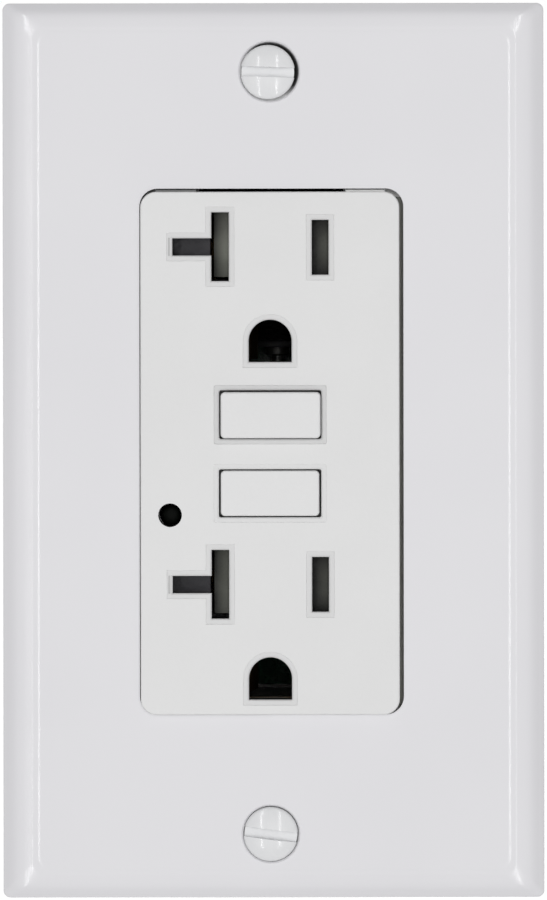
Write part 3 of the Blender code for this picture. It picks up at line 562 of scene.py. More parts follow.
def build_materials():
    M = {}
    # wall plate: hard glossy white; receptacle face: same white, a touch softer
    M["plate"] = moulded("plate_white", (0.800, 0.794, 0.819), (0.811, 0.805, 0.829), 0.10, 0.125, peel=0.00000004,
                         grain=0.00000002, spec=0.5, gap=plate_depths)
    M["face"] = moulded("face_white", (0.808, 0.808, 0.808), (0.820, 0.820, 0.820), 0.34, 0.42, spec=0.42, gap=face_depths, cloud=52.0)
    # the button's sides down in its window get painted shade
    M["button"] = moulded("button_white", (0.806, 0.806, 0.808), (0.818, 0.818, 0.820), 0.26, 0.34, spec=0.45, cloud=90.0,
                          gap=shade_below(0.45, 1.5, (0.07, 0.07, 0.066)))
    M["housing"] = moulded("housing_grey", (0.42, 0.42, 0.405), (0.47, 0.47, 0.455), 0.48, 0.62, peel=0.000004,
                           grain=0.000003, spec=0.4, crevice_shade=0.6, cloud=60.0)
    M["black"] = moulded("frame_black", (0.022, 0.022, 0.024), (0.034, 0.034, 0.037), 0.45, 0.60, peel=0.000004,
                         grain=0.000003, spec=0.4, crevice_shade=0.7)
    # the upper and lower shutter copies differ only in painted shade (the lift and the darker lower left)
    for tag, cz, lift in (("upper", OUTLET_Z[0], 0.55), ("lower", OUTLET_Z[1], 0.25)):
        M["olive_" + tag] = moulded("shutter_olive_" + tag, (0.056, 0.057, 0.048), (0.070, 0.072, 0.061), 0.42, 0.58, peel=0.000004,
                                    grain=0.000003, spec=0.22, crevice_shade=0.7, cloud=260.0, gap=shutter_shade(cz, lift))
    M["slate"] = moulded("shutter_slate", (0.036, 0.035, 0.041), (0.046, 0.044, 0.051), 0.42, 0.58, peel=0.000004,
                         grain=0.000003, spec=0.35, crevice_shade=0.7, cloud=260.0)
    M["lens"] = moulded("pipe_smoke", (0.0015, 0.002, 0.0015), (0.003, 0.004, 0.003), 0.4, 0.55, spec=0.04, crevice_shade=0.8)
    M["led"] = moulded("led_epoxy", (0.06, 0.24, 0.06), (0.09, 0.32, 0.09), 0.12, 0.22, spec=0.5, crevice_shade=0.8)
    M["varistor"] = moulded("varistor_epoxy", (0.60, 0.27, 0.025), (0.74, 0.38, 0.05), 0.35, 0.55, peel=0.00001, crevice_shade=0.7, cloud=420.0)
    M["capacitor"] = moulded("capacitor_epoxy", (0.30, 0.035, 0.02), (0.40, 0.06, 0.035), 0.18, 0.30, crevice_shade=0.7, cloud=300.0)
    M["zinc"] = metal("zinc_steel", (0.56, 0.56, 0.55), (0.68, 0.68, 0.66), 0.26, 0.44, stain=(0.45, 0.44, 0.40))
    M["spring"] = metal("spring_steel", (0.50, 0.50, 0.50), (0.62, 0.62, 0.62), 0.22, 0.36, depth=0.0002)
    M["brass"] = metal("plain_brass", (0.66, 0.45, 0.17), (0.80, 0.58, 0.26), 0.24, 0.42, stain=(0.50, 0.32, 0.12))
    # painted shade: brass darkened to near black so the contacts read as shade deep in the ground holes; the stain
    # spots are real
    M["shaded_brass"] = metal("brass_in_shade", (0.12, 0.075, 0.034), (0.19, 0.125, 0.06), 0.34, 0.5, stain=(0.07, 0.04, 0.02))
    M["strap"] = strap_steel()
    M["nickel"] = metal("nickel_brass", (0.60, 0.58, 0.53), (0.72, 0.70, 0.65), 0.20, 0.36, stain=(0.50, 0.46, 0.38))
    M["copper"] = metal("copper_strip", (0.70, 0.36, 0.22), (0.84, 0.48, 0.32), 0.24, 0.42, stain=(0.48, 0.22, 0.14))
    M["green"] = green_chromate()
    M["paint"] = screw_enamel()
    M["winding"] = wire_winding()
    M["board"] = board_laminate()
    return M


def screw_enamel():
    """White enamel on a steel head: soft gloss, slightly cooler, painted shade in the slot and other hollows, bare
    steel behind the head.
    """
    m = Nodes("screw_enamel")
    tone = m.mix(m.span(m.noise(700.0, 4.0, 0.6), 0.35, 0.65, 0.0, 1.0), (0.800, 0.805, 0.818), (0.822, 0.826, 0.836))
    # painted shade: darker in the slot and hollows by ambient occlusion
    ao = m.span(m.crevice(0.0006), 0.0, 0.8, 0.90, 1.0)
    grey = m.node("ShaderNodeCombineColor")
    for k in range(3):
        m.link(ao, grey.inputs[k])
    tone = m.mix(1.0, tone, grey.outputs[0], "MULTIPLY")
    y = m.axis(1)
    bare = m.span(y, 2.2 * MM, 2.6 * MM, 0.0, 1.0, True)
    tone = m.mix(bare, tone, (0.50, 0.50, 0.49))
    rough = m.span(m.noise(900.0, 3.0), 0.3, 0.7, 0.09, 0.14)
    n = m.bump(m.noise(1700.0, 2.0), 0.00006, 0.10)
    mat = m.finish(tone, rough, n, ior=1.5, spec=0.5)
    m.link(bare, m.b.inputs["Metallic"])
    return mat


def green_chromate():
    m = Nodes("green_chromate")
    tone = m.mix(m.span(m.noise(500.0, 4.0, 0.6), 0.3, 0.7, 0.0, 1.0), (0.02, 0.20, 0.06), (0.05, 0.34, 0.12))
    wear = m.span(m.crevice(0.0005), 0.96, 1.0, 0.0, 0.35)
    worn = m.math("MULTIPLY", wear, m.span(m.noise(1500.0, 3.0), 0.5, 0.7, 0.0, 1.0))
    tone = m.mix(worn, tone, (0.45, 0.50, 0.40))
    rough = m.span(m.noise(900.0, 3.0), 0.3, 0.7, 0.25, 0.42)
    return m.finish(tone, rough, m.bump(m.noise(1600.0, 3.0), 0.0004, 0.2), metal=0.75)


def wire_winding():
    """Enamelled copper wire in close turns, painted near black and dull below z = 24.4 mm as shade where it shows
    through the ground hole.
    """
    m = Nodes("wire_winding")
    turns = m.wave(1000.0, "Z", 0.15)
    tone = m.mix(m.span(turns, 0.05, 0.6, 0.0, 1.0), (0.16, 0.05, 0.02), (0.72, 0.30, 0.12))
    tone = m.mix(m.span(m.noise(400.0, 3.0), 0.4, 0.7, 0.0, 0.4), tone, (0.50, 0.20, 0.08))
    # painted shade: near black, with little gloss, below z = 24.4 mm
    z = m.axis(2)
    shade_band = m.math("MULTIPLY", m.math("GREATER_THAN", z, -100 * MM), m.math("LESS_THAN", z, 24.4 * MM))
    tone = m.mix(shade_band, tone, (0.008, 0.008, 0.008))
    mat = m.finish(tone, m.span(m.noise(900.0), 0.3, 0.7, 0.25, 0.4), m.bump(turns, 0.0001, 0.8), metal=0.85)
    m.link(m.math("MULTIPLY", 0.85, m.math("SUBTRACT", 1.0, shade_band)), m.b.inputs["Metallic"])
    m.link(m.math("SUBTRACT", 0.5, m.math("MULTIPLY", shade_band, 0.42)), m.b.inputs["Specular IOR Level"])
    return mat


def board_laminate():
    """Solder mask over woven glass with tinned pads."""
    m = Nodes("board_laminate")
    weave = m.math("MULTIPLY", m.wave(900.0, "X", 0.4), m.wave(900.0, "Z", 0.4))
    tone = m.mix(m.span(weave, 0.0, 1.0, 0.0, 0.6), (0.004, 0.034, 0.015), (0.008, 0.07, 0.03))
    traces = m.span(m.voronoi(420.0, "DISTANCE_TO_EDGE"), 0.05, 0.07, 1.0, 0.0)
    tone = m.mix(m.math("MULTIPLY", traces, 0.45), tone, (0.012, 0.09, 0.04))
    pads = m.span(m.voronoi(300.0), 0.11, 0.13, 1.0, 0.0)
    tone = m.mix(pads, tone, (0.62, 0.61, 0.57))
    n = m.bump(m.math("ADD", traces, pads), 0.00003, 0.7)
    return m.finish(tone, m.span(m.noise(800.0), 0.3, 0.7, 0.22, 0.38), n)


def strap_steel():
    """Zinc-plated sheet, darker in its crevices (painted shade), its front painted near black as shade where it passes
    under the face's ends and shows through the gap round the face.
    """
    m = Nodes("strap_steel")
    tone = m.mix(m.span(m.noise(240.0, 5.0, 0.62), 0.32, 0.68, 0.0, 1.0), (0.56, 0.56, 0.55), (0.68, 0.68, 0.66))
    tone = m.mix(m.span(m.noise(620.0, 3.0, 0.7), 0.58, 0.74, 0.0, 0.5), tone, (0.46, 0.45, 0.41))
    # painted shade: the front turns near black at the ends, behind the gap round the face
    az = m.math("ABSOLUTE", m.axis(2))
    strip = m.math("MULTIPLY", m.math("GREATER_THAN", az, 31.0 * MM), m.math("LESS_THAN", az, 36.4 * MM))
    strip = m.math("MULTIPLY", strip, m.math("LESS_THAN", m.axis(1), 5.3 * MM))
    tone = m.mix(strip, tone, (0.004, 0.004, 0.004))
    # painted shade: darker in crevices by ambient occlusion
    ao = m.span(m.crevice(0.0009), 0.0, 0.8, 0.75, 1.0)
    grey = m.node("ShaderNodeCombineColor")
    for k in range(3):
        m.link(ao, grey.inputs[k])
    tone = m.mix(1.0, tone, grey.outputs[0], "MULTIPLY")
    grain = m.noise(900.0, 3.0, 0.6, stretch=(1, 1, 50))
    rough = m.span(grain, 0.3, 0.7, 0.26, 0.44)
    mat = m.finish(tone, rough, m.bump(grain, 0.0004, 0.1), metal=1.0)
    m.link(m.math("SUBTRACT", 1.0, strip), m.b.inputs["Metallic"])
    m.link(m.math("MULTIPLY", 0.5, m.math("SUBTRACT", 1.0, strip)), m.b.inputs["Specular IOR Level"])
    return mat


# ------------------------------------------------------------------ pieces
def piece(ob, name, body, mat, nodes=None, bevel=0.0, seg=2, limit=30.0):
    """Turn a millimetre mesh into a finished piece that stands for its CAD node."""
    ob.name = name
    me = ob.data
    me.name = name
    bm = bmesh.new()
    bm.from_mesh(me)
    bmesh.ops.remove_doubles(bm, verts=bm.verts, dist=1e-4)
    bmesh.ops.dissolve_degenerate(bm, edges=bm.edges, dist=1e-4)
    bmesh.ops.dissolve_limit(bm, angle_limit=math.radians(0.05), verts=bm.verts, edges=bm.edges)
    bm.to_mesh(me)
    bm.free()
    for v in me.vertices:
        v.co = v.co * MM
    me.materials.clear()
    me.materials.append(mat)
    for p in me.polygons:
        p.material_index = 0
    me.shade_smooth()
    if bevel:
        b = ob.modifiers.new("edges", "BEVEL")
        b.width = bevel * MM
        b.segments = seg
        b.limit_method = "ANGLE"
        b.angle_limit = math.radians(limit)
        b.harden_normals = True
        b.use_clamp_overlap = True
    else:
        me.set_sharp_from_angle(angle=math.radians(limit))
    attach(ob, body)
    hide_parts(*(nodes or [name.replace("v_", "", 1)]))
    return ob


def thread_rod(r0, r1, t0, t1, axis="y", c=(0, 0, 0), pitch=PITCH, n=28, per=8, hand=1, tip=0.9):
    """A rod with a helical thread; the thread fades out over the last bit at t1."""
    stack = []
    length = abs(t1 - t0)
    s = 1 if t1 > t0 else -1
    total = max(2, int(length / pitch * per))
    for k in range(total + 1):
        u = length * k / total
        fade = min(1.0, (length - u) / tip, 1.0)
        fade_in = min(1.0, u / (0.3 * pitch) if pitch else 1.0)
        ring = []
        for i in range(n):
            a = 2 * math.pi * i / n
            f = (u / pitch - hand * s * i / n) % 1.0
            tri = 1 - abs(2 * f - 1)
            tri = min(1.0, max(0.0, (tri - 0.08) / 0.8))
            r = r0 * (0.72 + 0.28 * fade) + (r1 - r0) * tri * fade * fade_in
            p, q = r * math.cos(a), r * math.sin(a)
            t = t0 + s * u
            if axis == "y":
                ring.append((c[0] + p, c[1] + t, c[2] + q))
            elif axis == "x":
                ring.append((c[0] + t, c[1] + p, c[2] + q))
            else:
                ring.append((c[0] + p, c[1] + q, c[2] + t))
        stack.append(ring)
    return rings(stack)


def spin_about(ob, angle, cx, cz):
    a = math.radians(angle)
    for v in ob.data.vertices:
        u, w = v.co.x - cx, v.co.z - cz
        v.co.x = cx + u * math.cos(a) - w * math.sin(a)
        v.co.z = cz + u * math.sin(a) + w * math.cos(a)
    return ob


def arc(cx, cy, r, a0, a1, n):
    return [(cx + r * math.cos(math.radians(a0 + (a1 - a0) * k / n)), cy + r * math.sin(math.radians(a0 + (a1 - a0) * k / n)))
            for k in range(n + 1)]


# ---- wall plate
def plate_profile(step=0.09):
    """(distance in from the side edge, Y) down the sloping border, finely stepped."""
    ds = [PLATE_EDGE[0][0]]
    while ds[-1] + step < PLATE_EDGE[-1][0]:
        ds.append(ds[-1] + step)
    ds = sorted(set([round(d, 4) for d in ds] + [d for d, _ in PLATE_EDGE]))
    ds = [d for k, d in enumerate(ds) if k == 0 or d - ds[k - 1] > 0.02]
    if ds[-1] < PLATE_EDGE[-1][0]:
        ds.append(PLATE_EDGE[-1][0])

    def tilt(d):
        for (d0, a0), (d1, a1) in zip(PLATE_EDGE, PLATE_EDGE[1:]):
            if d <= d1:
                return a0 + (a1 - a0) * (d - d0) / (d1 - d0)
        return PLATE_EDGE[-1][1]
    out, y = [(ds[-1], PLATE_FRONT)], PLATE_FRONT
    for d0, d1 in reversed(list(zip(ds, ds[1:]))):
        y += (d1 - d0) * math.tan(math.radians((tilt(d0) + tilt(d1)) / 2))
        out.append((d0, y))
    return out[::-1]


def wall_plate(M):
    n = 14

    def sec(inset, y, r, kz=0.8):
        return rrect(PLATE_W - 2 * inset, PLATE_H - 2 * inset * kz, r, PLATE_CX + 0.13 * min(1.0, max(0.0, inset - 2.6)) * (y < 2.0), PLATE_CZ, n), y
    prof = plate_profile()
    y_rim = prof[0][1]
    stack = [sec(0.22, WALL_Y, 0.75, 1.0), sec(0.10, WALL_Y - 0.12, 0.85, 1.0), sec(0.06, 5.6, 0.88, 1.0), sec(0.0, 4.6, 0.9)]
    for a in (0, 12, 24, 36, 48, 57):
        c, s = math.cos(math.radians(a)), math.sin(math.radians(a))
        stack.append(sec(0.12 * (1 - c) / 0.4554 * 1.0, y_rim + 0.22 * (1 - s / 0.8387), 0.9))
    stack += [sec(d, y, 0.9 + (d - 0.12) / 4.63) for d, y in prof]
    ob = loft_y(stack)
    cuts = [loft_y([sec(1.75, WALL_Y + 0.2, 0.5, 1.0), sec(2.0, 6.2, 0.5, 1.0), sec(2.0, 4.3, 0.5, 1.0), sec(2.25, 3.6, 0.5, 1.0),
                    sec(3.4, 2.95, 0.5, 1.0)]),
            prism_y(rrect(OPEN_W, OPEN_H, OPEN_R, OPEN_CX, OPEN_CZ, n), -1, 8)]
    cut(ob, *cuts)
    adds = [cut(prism_y(rrect(OPEN_W + 3.0, OPEN_H + 3.0, OPEN_R + 1.4, OPEN_CX, OPEN_CZ, n), 2.7, 3.15),
                prism_y(rrect(OPEN_W, OPEN_H, OPEN_R, OPEN_CX, OPEN_CZ, n), 2, 5))]
    for (x, z), (dx, dz, r) in zip(PLATE_SCREWS, HOLE_SHIFT):
        adds.append(turn([(r + 0.5, 2.5), (r + 0.5, 3.2), (r + 0.35, 3.35)], "y", (x + dx, 0, z + dz), 56))
        adds.append(turn([(3.35, 2.7), (3.3, 3.0), (3.1, 3.2), (3.0, 4.7)], "y", (x, 0, z), 48))
        for a in (45, 135, 225, 315):
            rib = box(-0.35, 0.35, 2.7, 3.9, 2.9, 5.2)
            for v in rib.data.vertices:
                v.co.x += x
                v.co.z += z
            adds.append(spin_about(rib, a, x, z))
    for sx in (-1, 1):
        for z in (-40.0, -20.0, 0.0, 20.0, 40.0):
            x0 = PLATE_CX + sx * 24.2
            adds.append(loft_y([(rrect(1.1, 12.2, 0.3, x0, z, 3), 2.7), (rrect(0.8, 11.8, 0.3, x0, z, 3), 4.2)]))
    for sz in (-1, 1):
        for sx in (-1, 1):
            adds.append(loft_y([(rrect(16.2, 1.1, 0.3, PLATE_CX + sx * 16, PLATE_CZ + sz * 53.0, 3), 2.7),
                                (rrect(15.8, 0.8, 0.3, PLATE_CX + sx * 16, PLATE_CZ + sz * 53.0, 3), 4.2)]))
    join(ob, *adds)
    holes = []
    for (x, z), (dx, dz, r) in zip(PLATE_SCREWS, HOLE_SHIFT):
        holes.append(turn([(r + 0.22, 0.5), (r + 0.22, 0.83), (r + 0.10, 0.90), (r + 0.02, 0.98), (r, 1.1), (2.3, 2.6)], "y", (x + dx, 0, z + dz), 80))
        holes.append(cyl(2.1, 1.6, 5.2, "y", (x, 0, z), 40))
    for sx in (-1, 1):
        for sz in (-1, 1):
            holes.append(cyl(1.5, 2.82, 4.0, "y", (PLATE_CX + sx * 28.4, 0, PLATE_CZ + sz * 49.0), 28))
            holes.append(cyl(1.5, 2.82, 4.0, "y", (PLATE_CX + sx * 28.4, 0, PLATE_CZ + sz * 12.0), 28))
    cut(ob, *holes)
    return piece(ob, "v_wall_plate", "device", M["plate"], bevel=0.10, seg=3, limit=30)


def plate_screw(M, name, x, z, tilt):
    R = 11.1
    prof = []
    for k in range(1, 19):
        r = 3.24 * k / 18
        prof.append((r, 0.0 + r * r / (2 * R)))
    y = prof[-1][1]
    prof += [(3.36, y + 0.06), (3.43, y + 0.14), (3.46, y + 0.23), (3.43, y + 0.32), (3.34, y + 0.40), (1.6, 2.92), (1.42, 3.1), (1.42, 3.6)]
    ob = turn(prof, "y", (x, 0, z), 72)
    join(ob, thread_rod(1.33, 1.60, 3.3, 13.4, "y", (x, 0, z)))
    s = box(x - 4, x + 4, -0.6, 0.86, z - 0.64, z + 0.64)
    cut(ob, spin_about(s, tilt, x, z))
    return piece(ob, "v_" + name, name, M["paint"], bevel=0.07, seg=3, limit=32)


# ---- receptacle cover
SLOT_UP = 0.10


def nudge(outline):
    return [(x + 0.04, z) for x, z in outline]


def face_cover(M):
    n = 12
    stack = []
    for a in range(0, 91, 15):
        s, c = math.sin(math.radians(a)), math.cos(math.radians(a))
        g = 0.20 * (1 - s)
        stack.append((rrect(FACE_W - 2 * g, FACE_H - 2 * g, FACE_R - g, 0, 0, n), 0.20 * (1 - c)))
    stack.append((rrect(FACE_W, FACE_H, FACE_R, 0, 0, n), 4.2))
    ob = loft_y(stack)
    join(ob, prism_y(rrect(FLANGE_W, FLANGE_H, 2.0, 0, 0, n), FLANGE_Y0, FLANGE_Y1))
    cut(ob, prism_y(rrect(29.4, 62.9, 1.2, 0, 0, 5), 1.8, 5.4), prism_y(rrect(40.0, 66.2, 1.2, 0, 0, 5), 4.9, 9.0))
    for sx in (-1, 1):
        x0, x1 = sorted((sx * (9.45 if sx < 0 else 9.6), sx * 14.6))
        join(ob, box(x0, x1, 1.15 if sx > 0 else 1.4, 3.6, 32.9, 33.46))
    adds = [cyl(2.7, 4.6, FLANGE_Y1, "y", (sx * POST_X, 0, sz * POST_Z), 36) for sx in (-1, 1) for sz in (-1, 1)]
    for cz in OUTLET_Z:
        adds.append(box(-14.9, 11.4, 1.6, 3.55, cz - 6.5, cz - 5.9))
    join(ob, *adds)
    cuts = []
    for sz in (-1, 1):
        z0, z1 = sorted((sz * 33.3, sz * 36.0))
        cuts.append(box(-9.5, 9.5, 3.0, 6.7, z0, z1))
        z0, z1 = sorted((sz * 30.5, sz * 33.4))
        cuts.append(box(-9.5, 9.5, 4.75, 6.7, z0, z1))
        for sx in (-1, 1):
            cuts.append(cyl(1.3, 5.9, 9.0, "y", (sx * POST_X, 0, sz * POST_Z), 28))
            cuts.append(box(sx * 21.7 - 0.35, sx * 21.7 + 0.35, 6.4, 8.0, sz * 14 - 5, sz * 14 + 5))

    def sunk(outline, width, depth):
        # a shallow flat border with a crisp outer step, then a narrow chamfer into the opening
        return loft_y([(outline(width + 0.10), -0.05), (outline(width), depth), (outline(0.16), depth + 0.01), (outline(0.0), depth + 0.13),
                       (outline(0.0), 3.0)])
    for cz in OUTLET_Z:
        cuts += [sunk(lambda g, c=cz: nudge(t_slot(c + SLOT_UP, g)), 0.66, 0.07),
                 sunk(lambda g, c=cz: nudge(hot_slot(c + (0.02 if c > 0 else 0.09), g)), 0.66, 0.07),
                 sunk(lambda g, c=cz - GROUND_DROP: [(x + 0.03, max(z, c - 2.65 - g)) for x, z in d_hole(c, g, 40)], 0.66, 0.07)]
        # fine groove beside the end of the leg
        cuts.append(box(-12.90, -12.66, -1, 0.16, cz - 1.05, cz + 1.22))
    for w in WINDOWS:
        if w[3] > 0:
            w = (w[0], w[1], w[2] - 0.10, w[3] - 0.08)
        cuts.append(sunk(lambda g, w=w: rrect(w[1] - w[0] + 2 * g, w[3] - w[2] + 2 * g, 0.25, (w[0] + w[1]) / 2, (w[2] + w[3]) / 2, 4),
                         0.60, 0.10 if w[3] > 0 else 0.05))
    cuts.append(cyl(LED_R, -1, 3, "y", (LED_X, 0, LED_Z + 0.11), 48))
    cut(ob, *cuts)
    return piece(ob, "v_face_cover", "device", M["face"], bevel=0.05, seg=2, limit=11)


def buttons(M):
    def cap(zc, w, h, y0, bore, cx=0.0):
        def sec(g, y):
            return rrect(w - 2 * g, h - 2 * g, max(0.12, 0.55 - g), cx, zc, 8), y
        e = 0.22
        stack = []
        for a in range(0, 91, 15):
            s, c = math.sin(math.radians(a)), math.cos(math.radians(a))
            stack.append(sec(e * (1 - s), y0 + e * (1 - c)))
        stack.append(sec(0.0, 3.3))
        ob = loft_y(stack)
        join(ob, box(-7.1, 7.1, 2.15, 3.35, zc - 3.55, zc + 3.55))
        if bore:
            cut(ob, cyl(1.6, 0.7, 4, "y", (0, 0, zc), 32))
        return ob
    z = BTN_Z[0] - 0.1
    out = [piece(cap(z, 12.64, 5.84, -1.0, True, RESET_X), "v_reset_button", "reset", M["button"], bevel=0.08, seg=2, limit=30)]
    prof = [(0.7, 1.0), (1.1, 1.1), (1.3, 1.35), (1.3, 20.8), (1.2, 20.95), (0.85, 21.0), (0.85, 21.75), (1.2, 21.85), (1.3, 22.0),
            (1.3, 25.0), (1.1, 25.4), (0.7, 25.6)]
    out.append(piece(turn(prof, "y", (0, 0, z), 40), "v_reset_stem", "reset", M["zinc"], limit=28))
    z = BTN_Z[1] - 0.1
    ob = cap(z + 0.05, 12.51, 5.77, 0.0, False)
    join(ob, box(-1.4, 1.4, 3.0, 11.8, z - 0.9, z + 0.9))
    out.append(piece(ob, "v_test_button", "test", M["button"], bevel=0.08, seg=2, limit=30))
    return out


def latch_plate(M):
    z = BTN_Z[0] - 0.1
    ob = box(-2.6, 2.6, 23.2, 24.0, 0.9, 9.4)
    join(ob, box(-2.6, 2.6, 21.6, 25.6, 8.88, 9.5))
    cut(ob, box(-1.65, 1.65, 22, 25, 3.15, 7.95))
    return piece(ob, "v_latch_plate", "latch_plate", M["zinc"], bevel=0.06, seg=2, limit=30)


# ---- strap, box screws, ground screw
def strap(M):
    y0, y1 = STRAP_Y0, STRAP_Y1
    ob = prism_y(rrect(38.8, 54.8, 1.0, 0, 0, 5), y0, y1)
    adds = [prism_y(rrect(29.2, 65.6, 1.0, 0, 0, 5), y0, y1), prism_y(rrect(18.4, 106.4, 1.2, 0, 0, 5), y0, y1)]
    for sz in (-1, 1):
        adds.append(prism_y(rrect(30.8, 6.5, 1.1, 0, sz * 49.85, 5), y0, y1))
    for x, z in PLATE_SCREWS:
        adds.append(turn([(3.1, y1 - 0.3), (2.95, y1 + 0.1), (2.8, y1 + 0.4), (2.75, 7.6)], "y", (x, 0, z), 40))
    adds.append(box(-14.2, -8.0, y0, y1, -43.6, -36.4))
    adds.append(prism_x([(y0, -43.6), (14.0, -43.6), (15.0, -42.6), (15.0, -37.4), (14.0, -36.4), (y0, -36.4)], -14.2, -13.0))
    join(ob, *adds)
    cuts = []
    for x, z in PLATE_SCREWS:
        cuts.append(cyl(1.8, 4, 9, "y", (x, 0, z), 36))
    for sz in (-1, 1):
        cuts.append(prism_y(rrect(6.5, 4.2, 2.09, 0, sz * BOX_SCREW_Z, 10), 4, 8))
        for sx in (-1, 1):
            cuts.append(cyl(0.9, 4, 8, "y", (sx * 10.0, 0, sz * 46.6), 20))
            cuts.append(cyl(0.9, 4, 8, "y", (sx * 10.0, 0, sz * 53.2), 20))
            cuts.append(cyl(1.7, 4, 8, "y", (sx * 13.0, 0, sz * 49.9), 28))
            cuts.append(prism_z([(sx * 10.0 - 0.3, y0 - 0.1), (sx * 10.0, y0 + 0.35), (sx * 10.0 + 0.3, y0 - 0.1)], sz * 49.9 - 3.0, sz * 49.9 + 3.0))
    for cz in OUTLET_Z:
        cuts.append(box(-13.2, 9.0, 4, 8, cz - 4.8, cz + 4.8))
        cuts.append(prism_y(d_hole(cz - GROUND_DROP, 0.6, 40), 4, 8))
        for sx in (-1, 1):
            cuts.append(cyl(0.75, 4, 8, "y", (sx * 5.0, 0, cz - GROUND_DROP), 18))
    cuts.append(box(-8.0, 8.0, 4, 8, -9.1, 9.1))
    cuts.append(cyl(1.7, 4, 8, "y", (LED_X, 0, LED_Z), 28))
    cuts.append(cyl(2.3, -15, -12, "x", (0, 11.0, -40.0), 32))
    cut(ob, *cuts)
    return piece(ob, "v_mounting_strap", "device", M["strap"], bevel=0.14, seg=2, limit=30)


def ground_contact(M, name, zc):
    arm = [(3.0, 7.0), (2.78, 8.8), (2.5, 11.0), (2.25, 12.3), (2.15, 13.2), (2.25, 14.6), (2.6, 17.0), (3.0, 17.0), (2.66, 14.6), (2.55, 13.2),
           (2.65, 12.3), (2.9, 11.0), (3.2, 8.8), (3.45, 7.0)]
    ob = prism_y(rrect(12.8, 7.6, 0.7, 0, zc, 5), 6.7, 7.3)
    adds = [prism_z(arm, zc - 2.4, zc + 2.4), prism_z([(-x, y) for x, y in reversed(arm)], zc - 2.4, zc + 2.4)]
    for sx in (-1, 1):
        adds.append(turn([(0.3, 4.88), (0.5, 5.0), (0.5, 6.9)], "y", (sx * 5.0, 0, zc), 20))
    join(ob, *adds)
    cut(ob, prism_y(d_hole(zc, 0.22, 40), 6, 7.35))
    return piece(ob, "v_" + name, "device", M["shaded_brass"], bevel=0.06, seg=2, limit=32)


def box_screw(M, name, z):
    prof = [(0.5, 3.36), (1.2, 3.39), (1.8, 3.47), (2.4, 3.62), (2.85, 3.85), (3.15, 4.12), (3.33, 4.42), (3.4, 4.7), (3.36, 4.86), (3.2, 4.92),
            (1.65, 4.92), (1.42, 5.0), (1.42, 6.2)]
    ob = turn(prof, "y", (0, 0, z), 56)
    join(ob, thread_rod(1.34, 1.65, 5.6, 35.8, "y", (0, 0, z), n=24, per=7, tip=1.6))
    cut(ob, box(-4, 4, 3, 4.3, z - 0.5, z + 0.5), loft_y([(rrect(1.0, 4.0, 0.1, 0, z, 2), 3.0), (rrect(0.8, 3.0, 0.1, 0, z, 2), 4.3)]))
    return piece(ob, "v_" + name, name, M["zinc"], bevel=0.06, seg=2, limit=32)


def ground_screw(M):
    c = (0, 11.0, -40.0)
    ob = turn([(3.3, -17.4), (3.7, -17.3), (4.0, -17.0), (4.0, -14.9)], "x", c, 6, phase=0.0)
    join(ob, turn([(4.15, -15.0), (4.3, -14.9), (4.3, -14.6), (4.2, -14.5)], "x", c, 56), cyl(1.7, -14.7, -13.4, "x", c, 36))
    join(ob, thread_rod(1.6, 1.95, -13.9, -7.8, "x", c, n=24, per=8, tip=1.0))
    cut(ob, box(-18, -16.4, 7, 15, -40.5, -39.5))
    return piece(ob, "v_ground_screw", "ground_screw", M["green"], bevel=0.09, seg=2, limit=32)


def ground_clamp(M):
    ob = prism_x(rrect(7.2, 6.4, 0.7, 11.0, -40.0, 5), -12.7, -11.6)
    cut(ob, cyl(2.25, -14, -10, "x", (0, 11.0, -40.0), 36),
        *[prism_y([(-12.9, z - 0.25), (-12.45, z), (-12.9, z + 0.25)], 7, 15) for z in (-42.2, -41.2, -38.8, -37.8)])
    return piece(ob, "v_ground_clamp", "ground_clamp", M["zinc"], bevel=0.08, seg=2, limit=32)


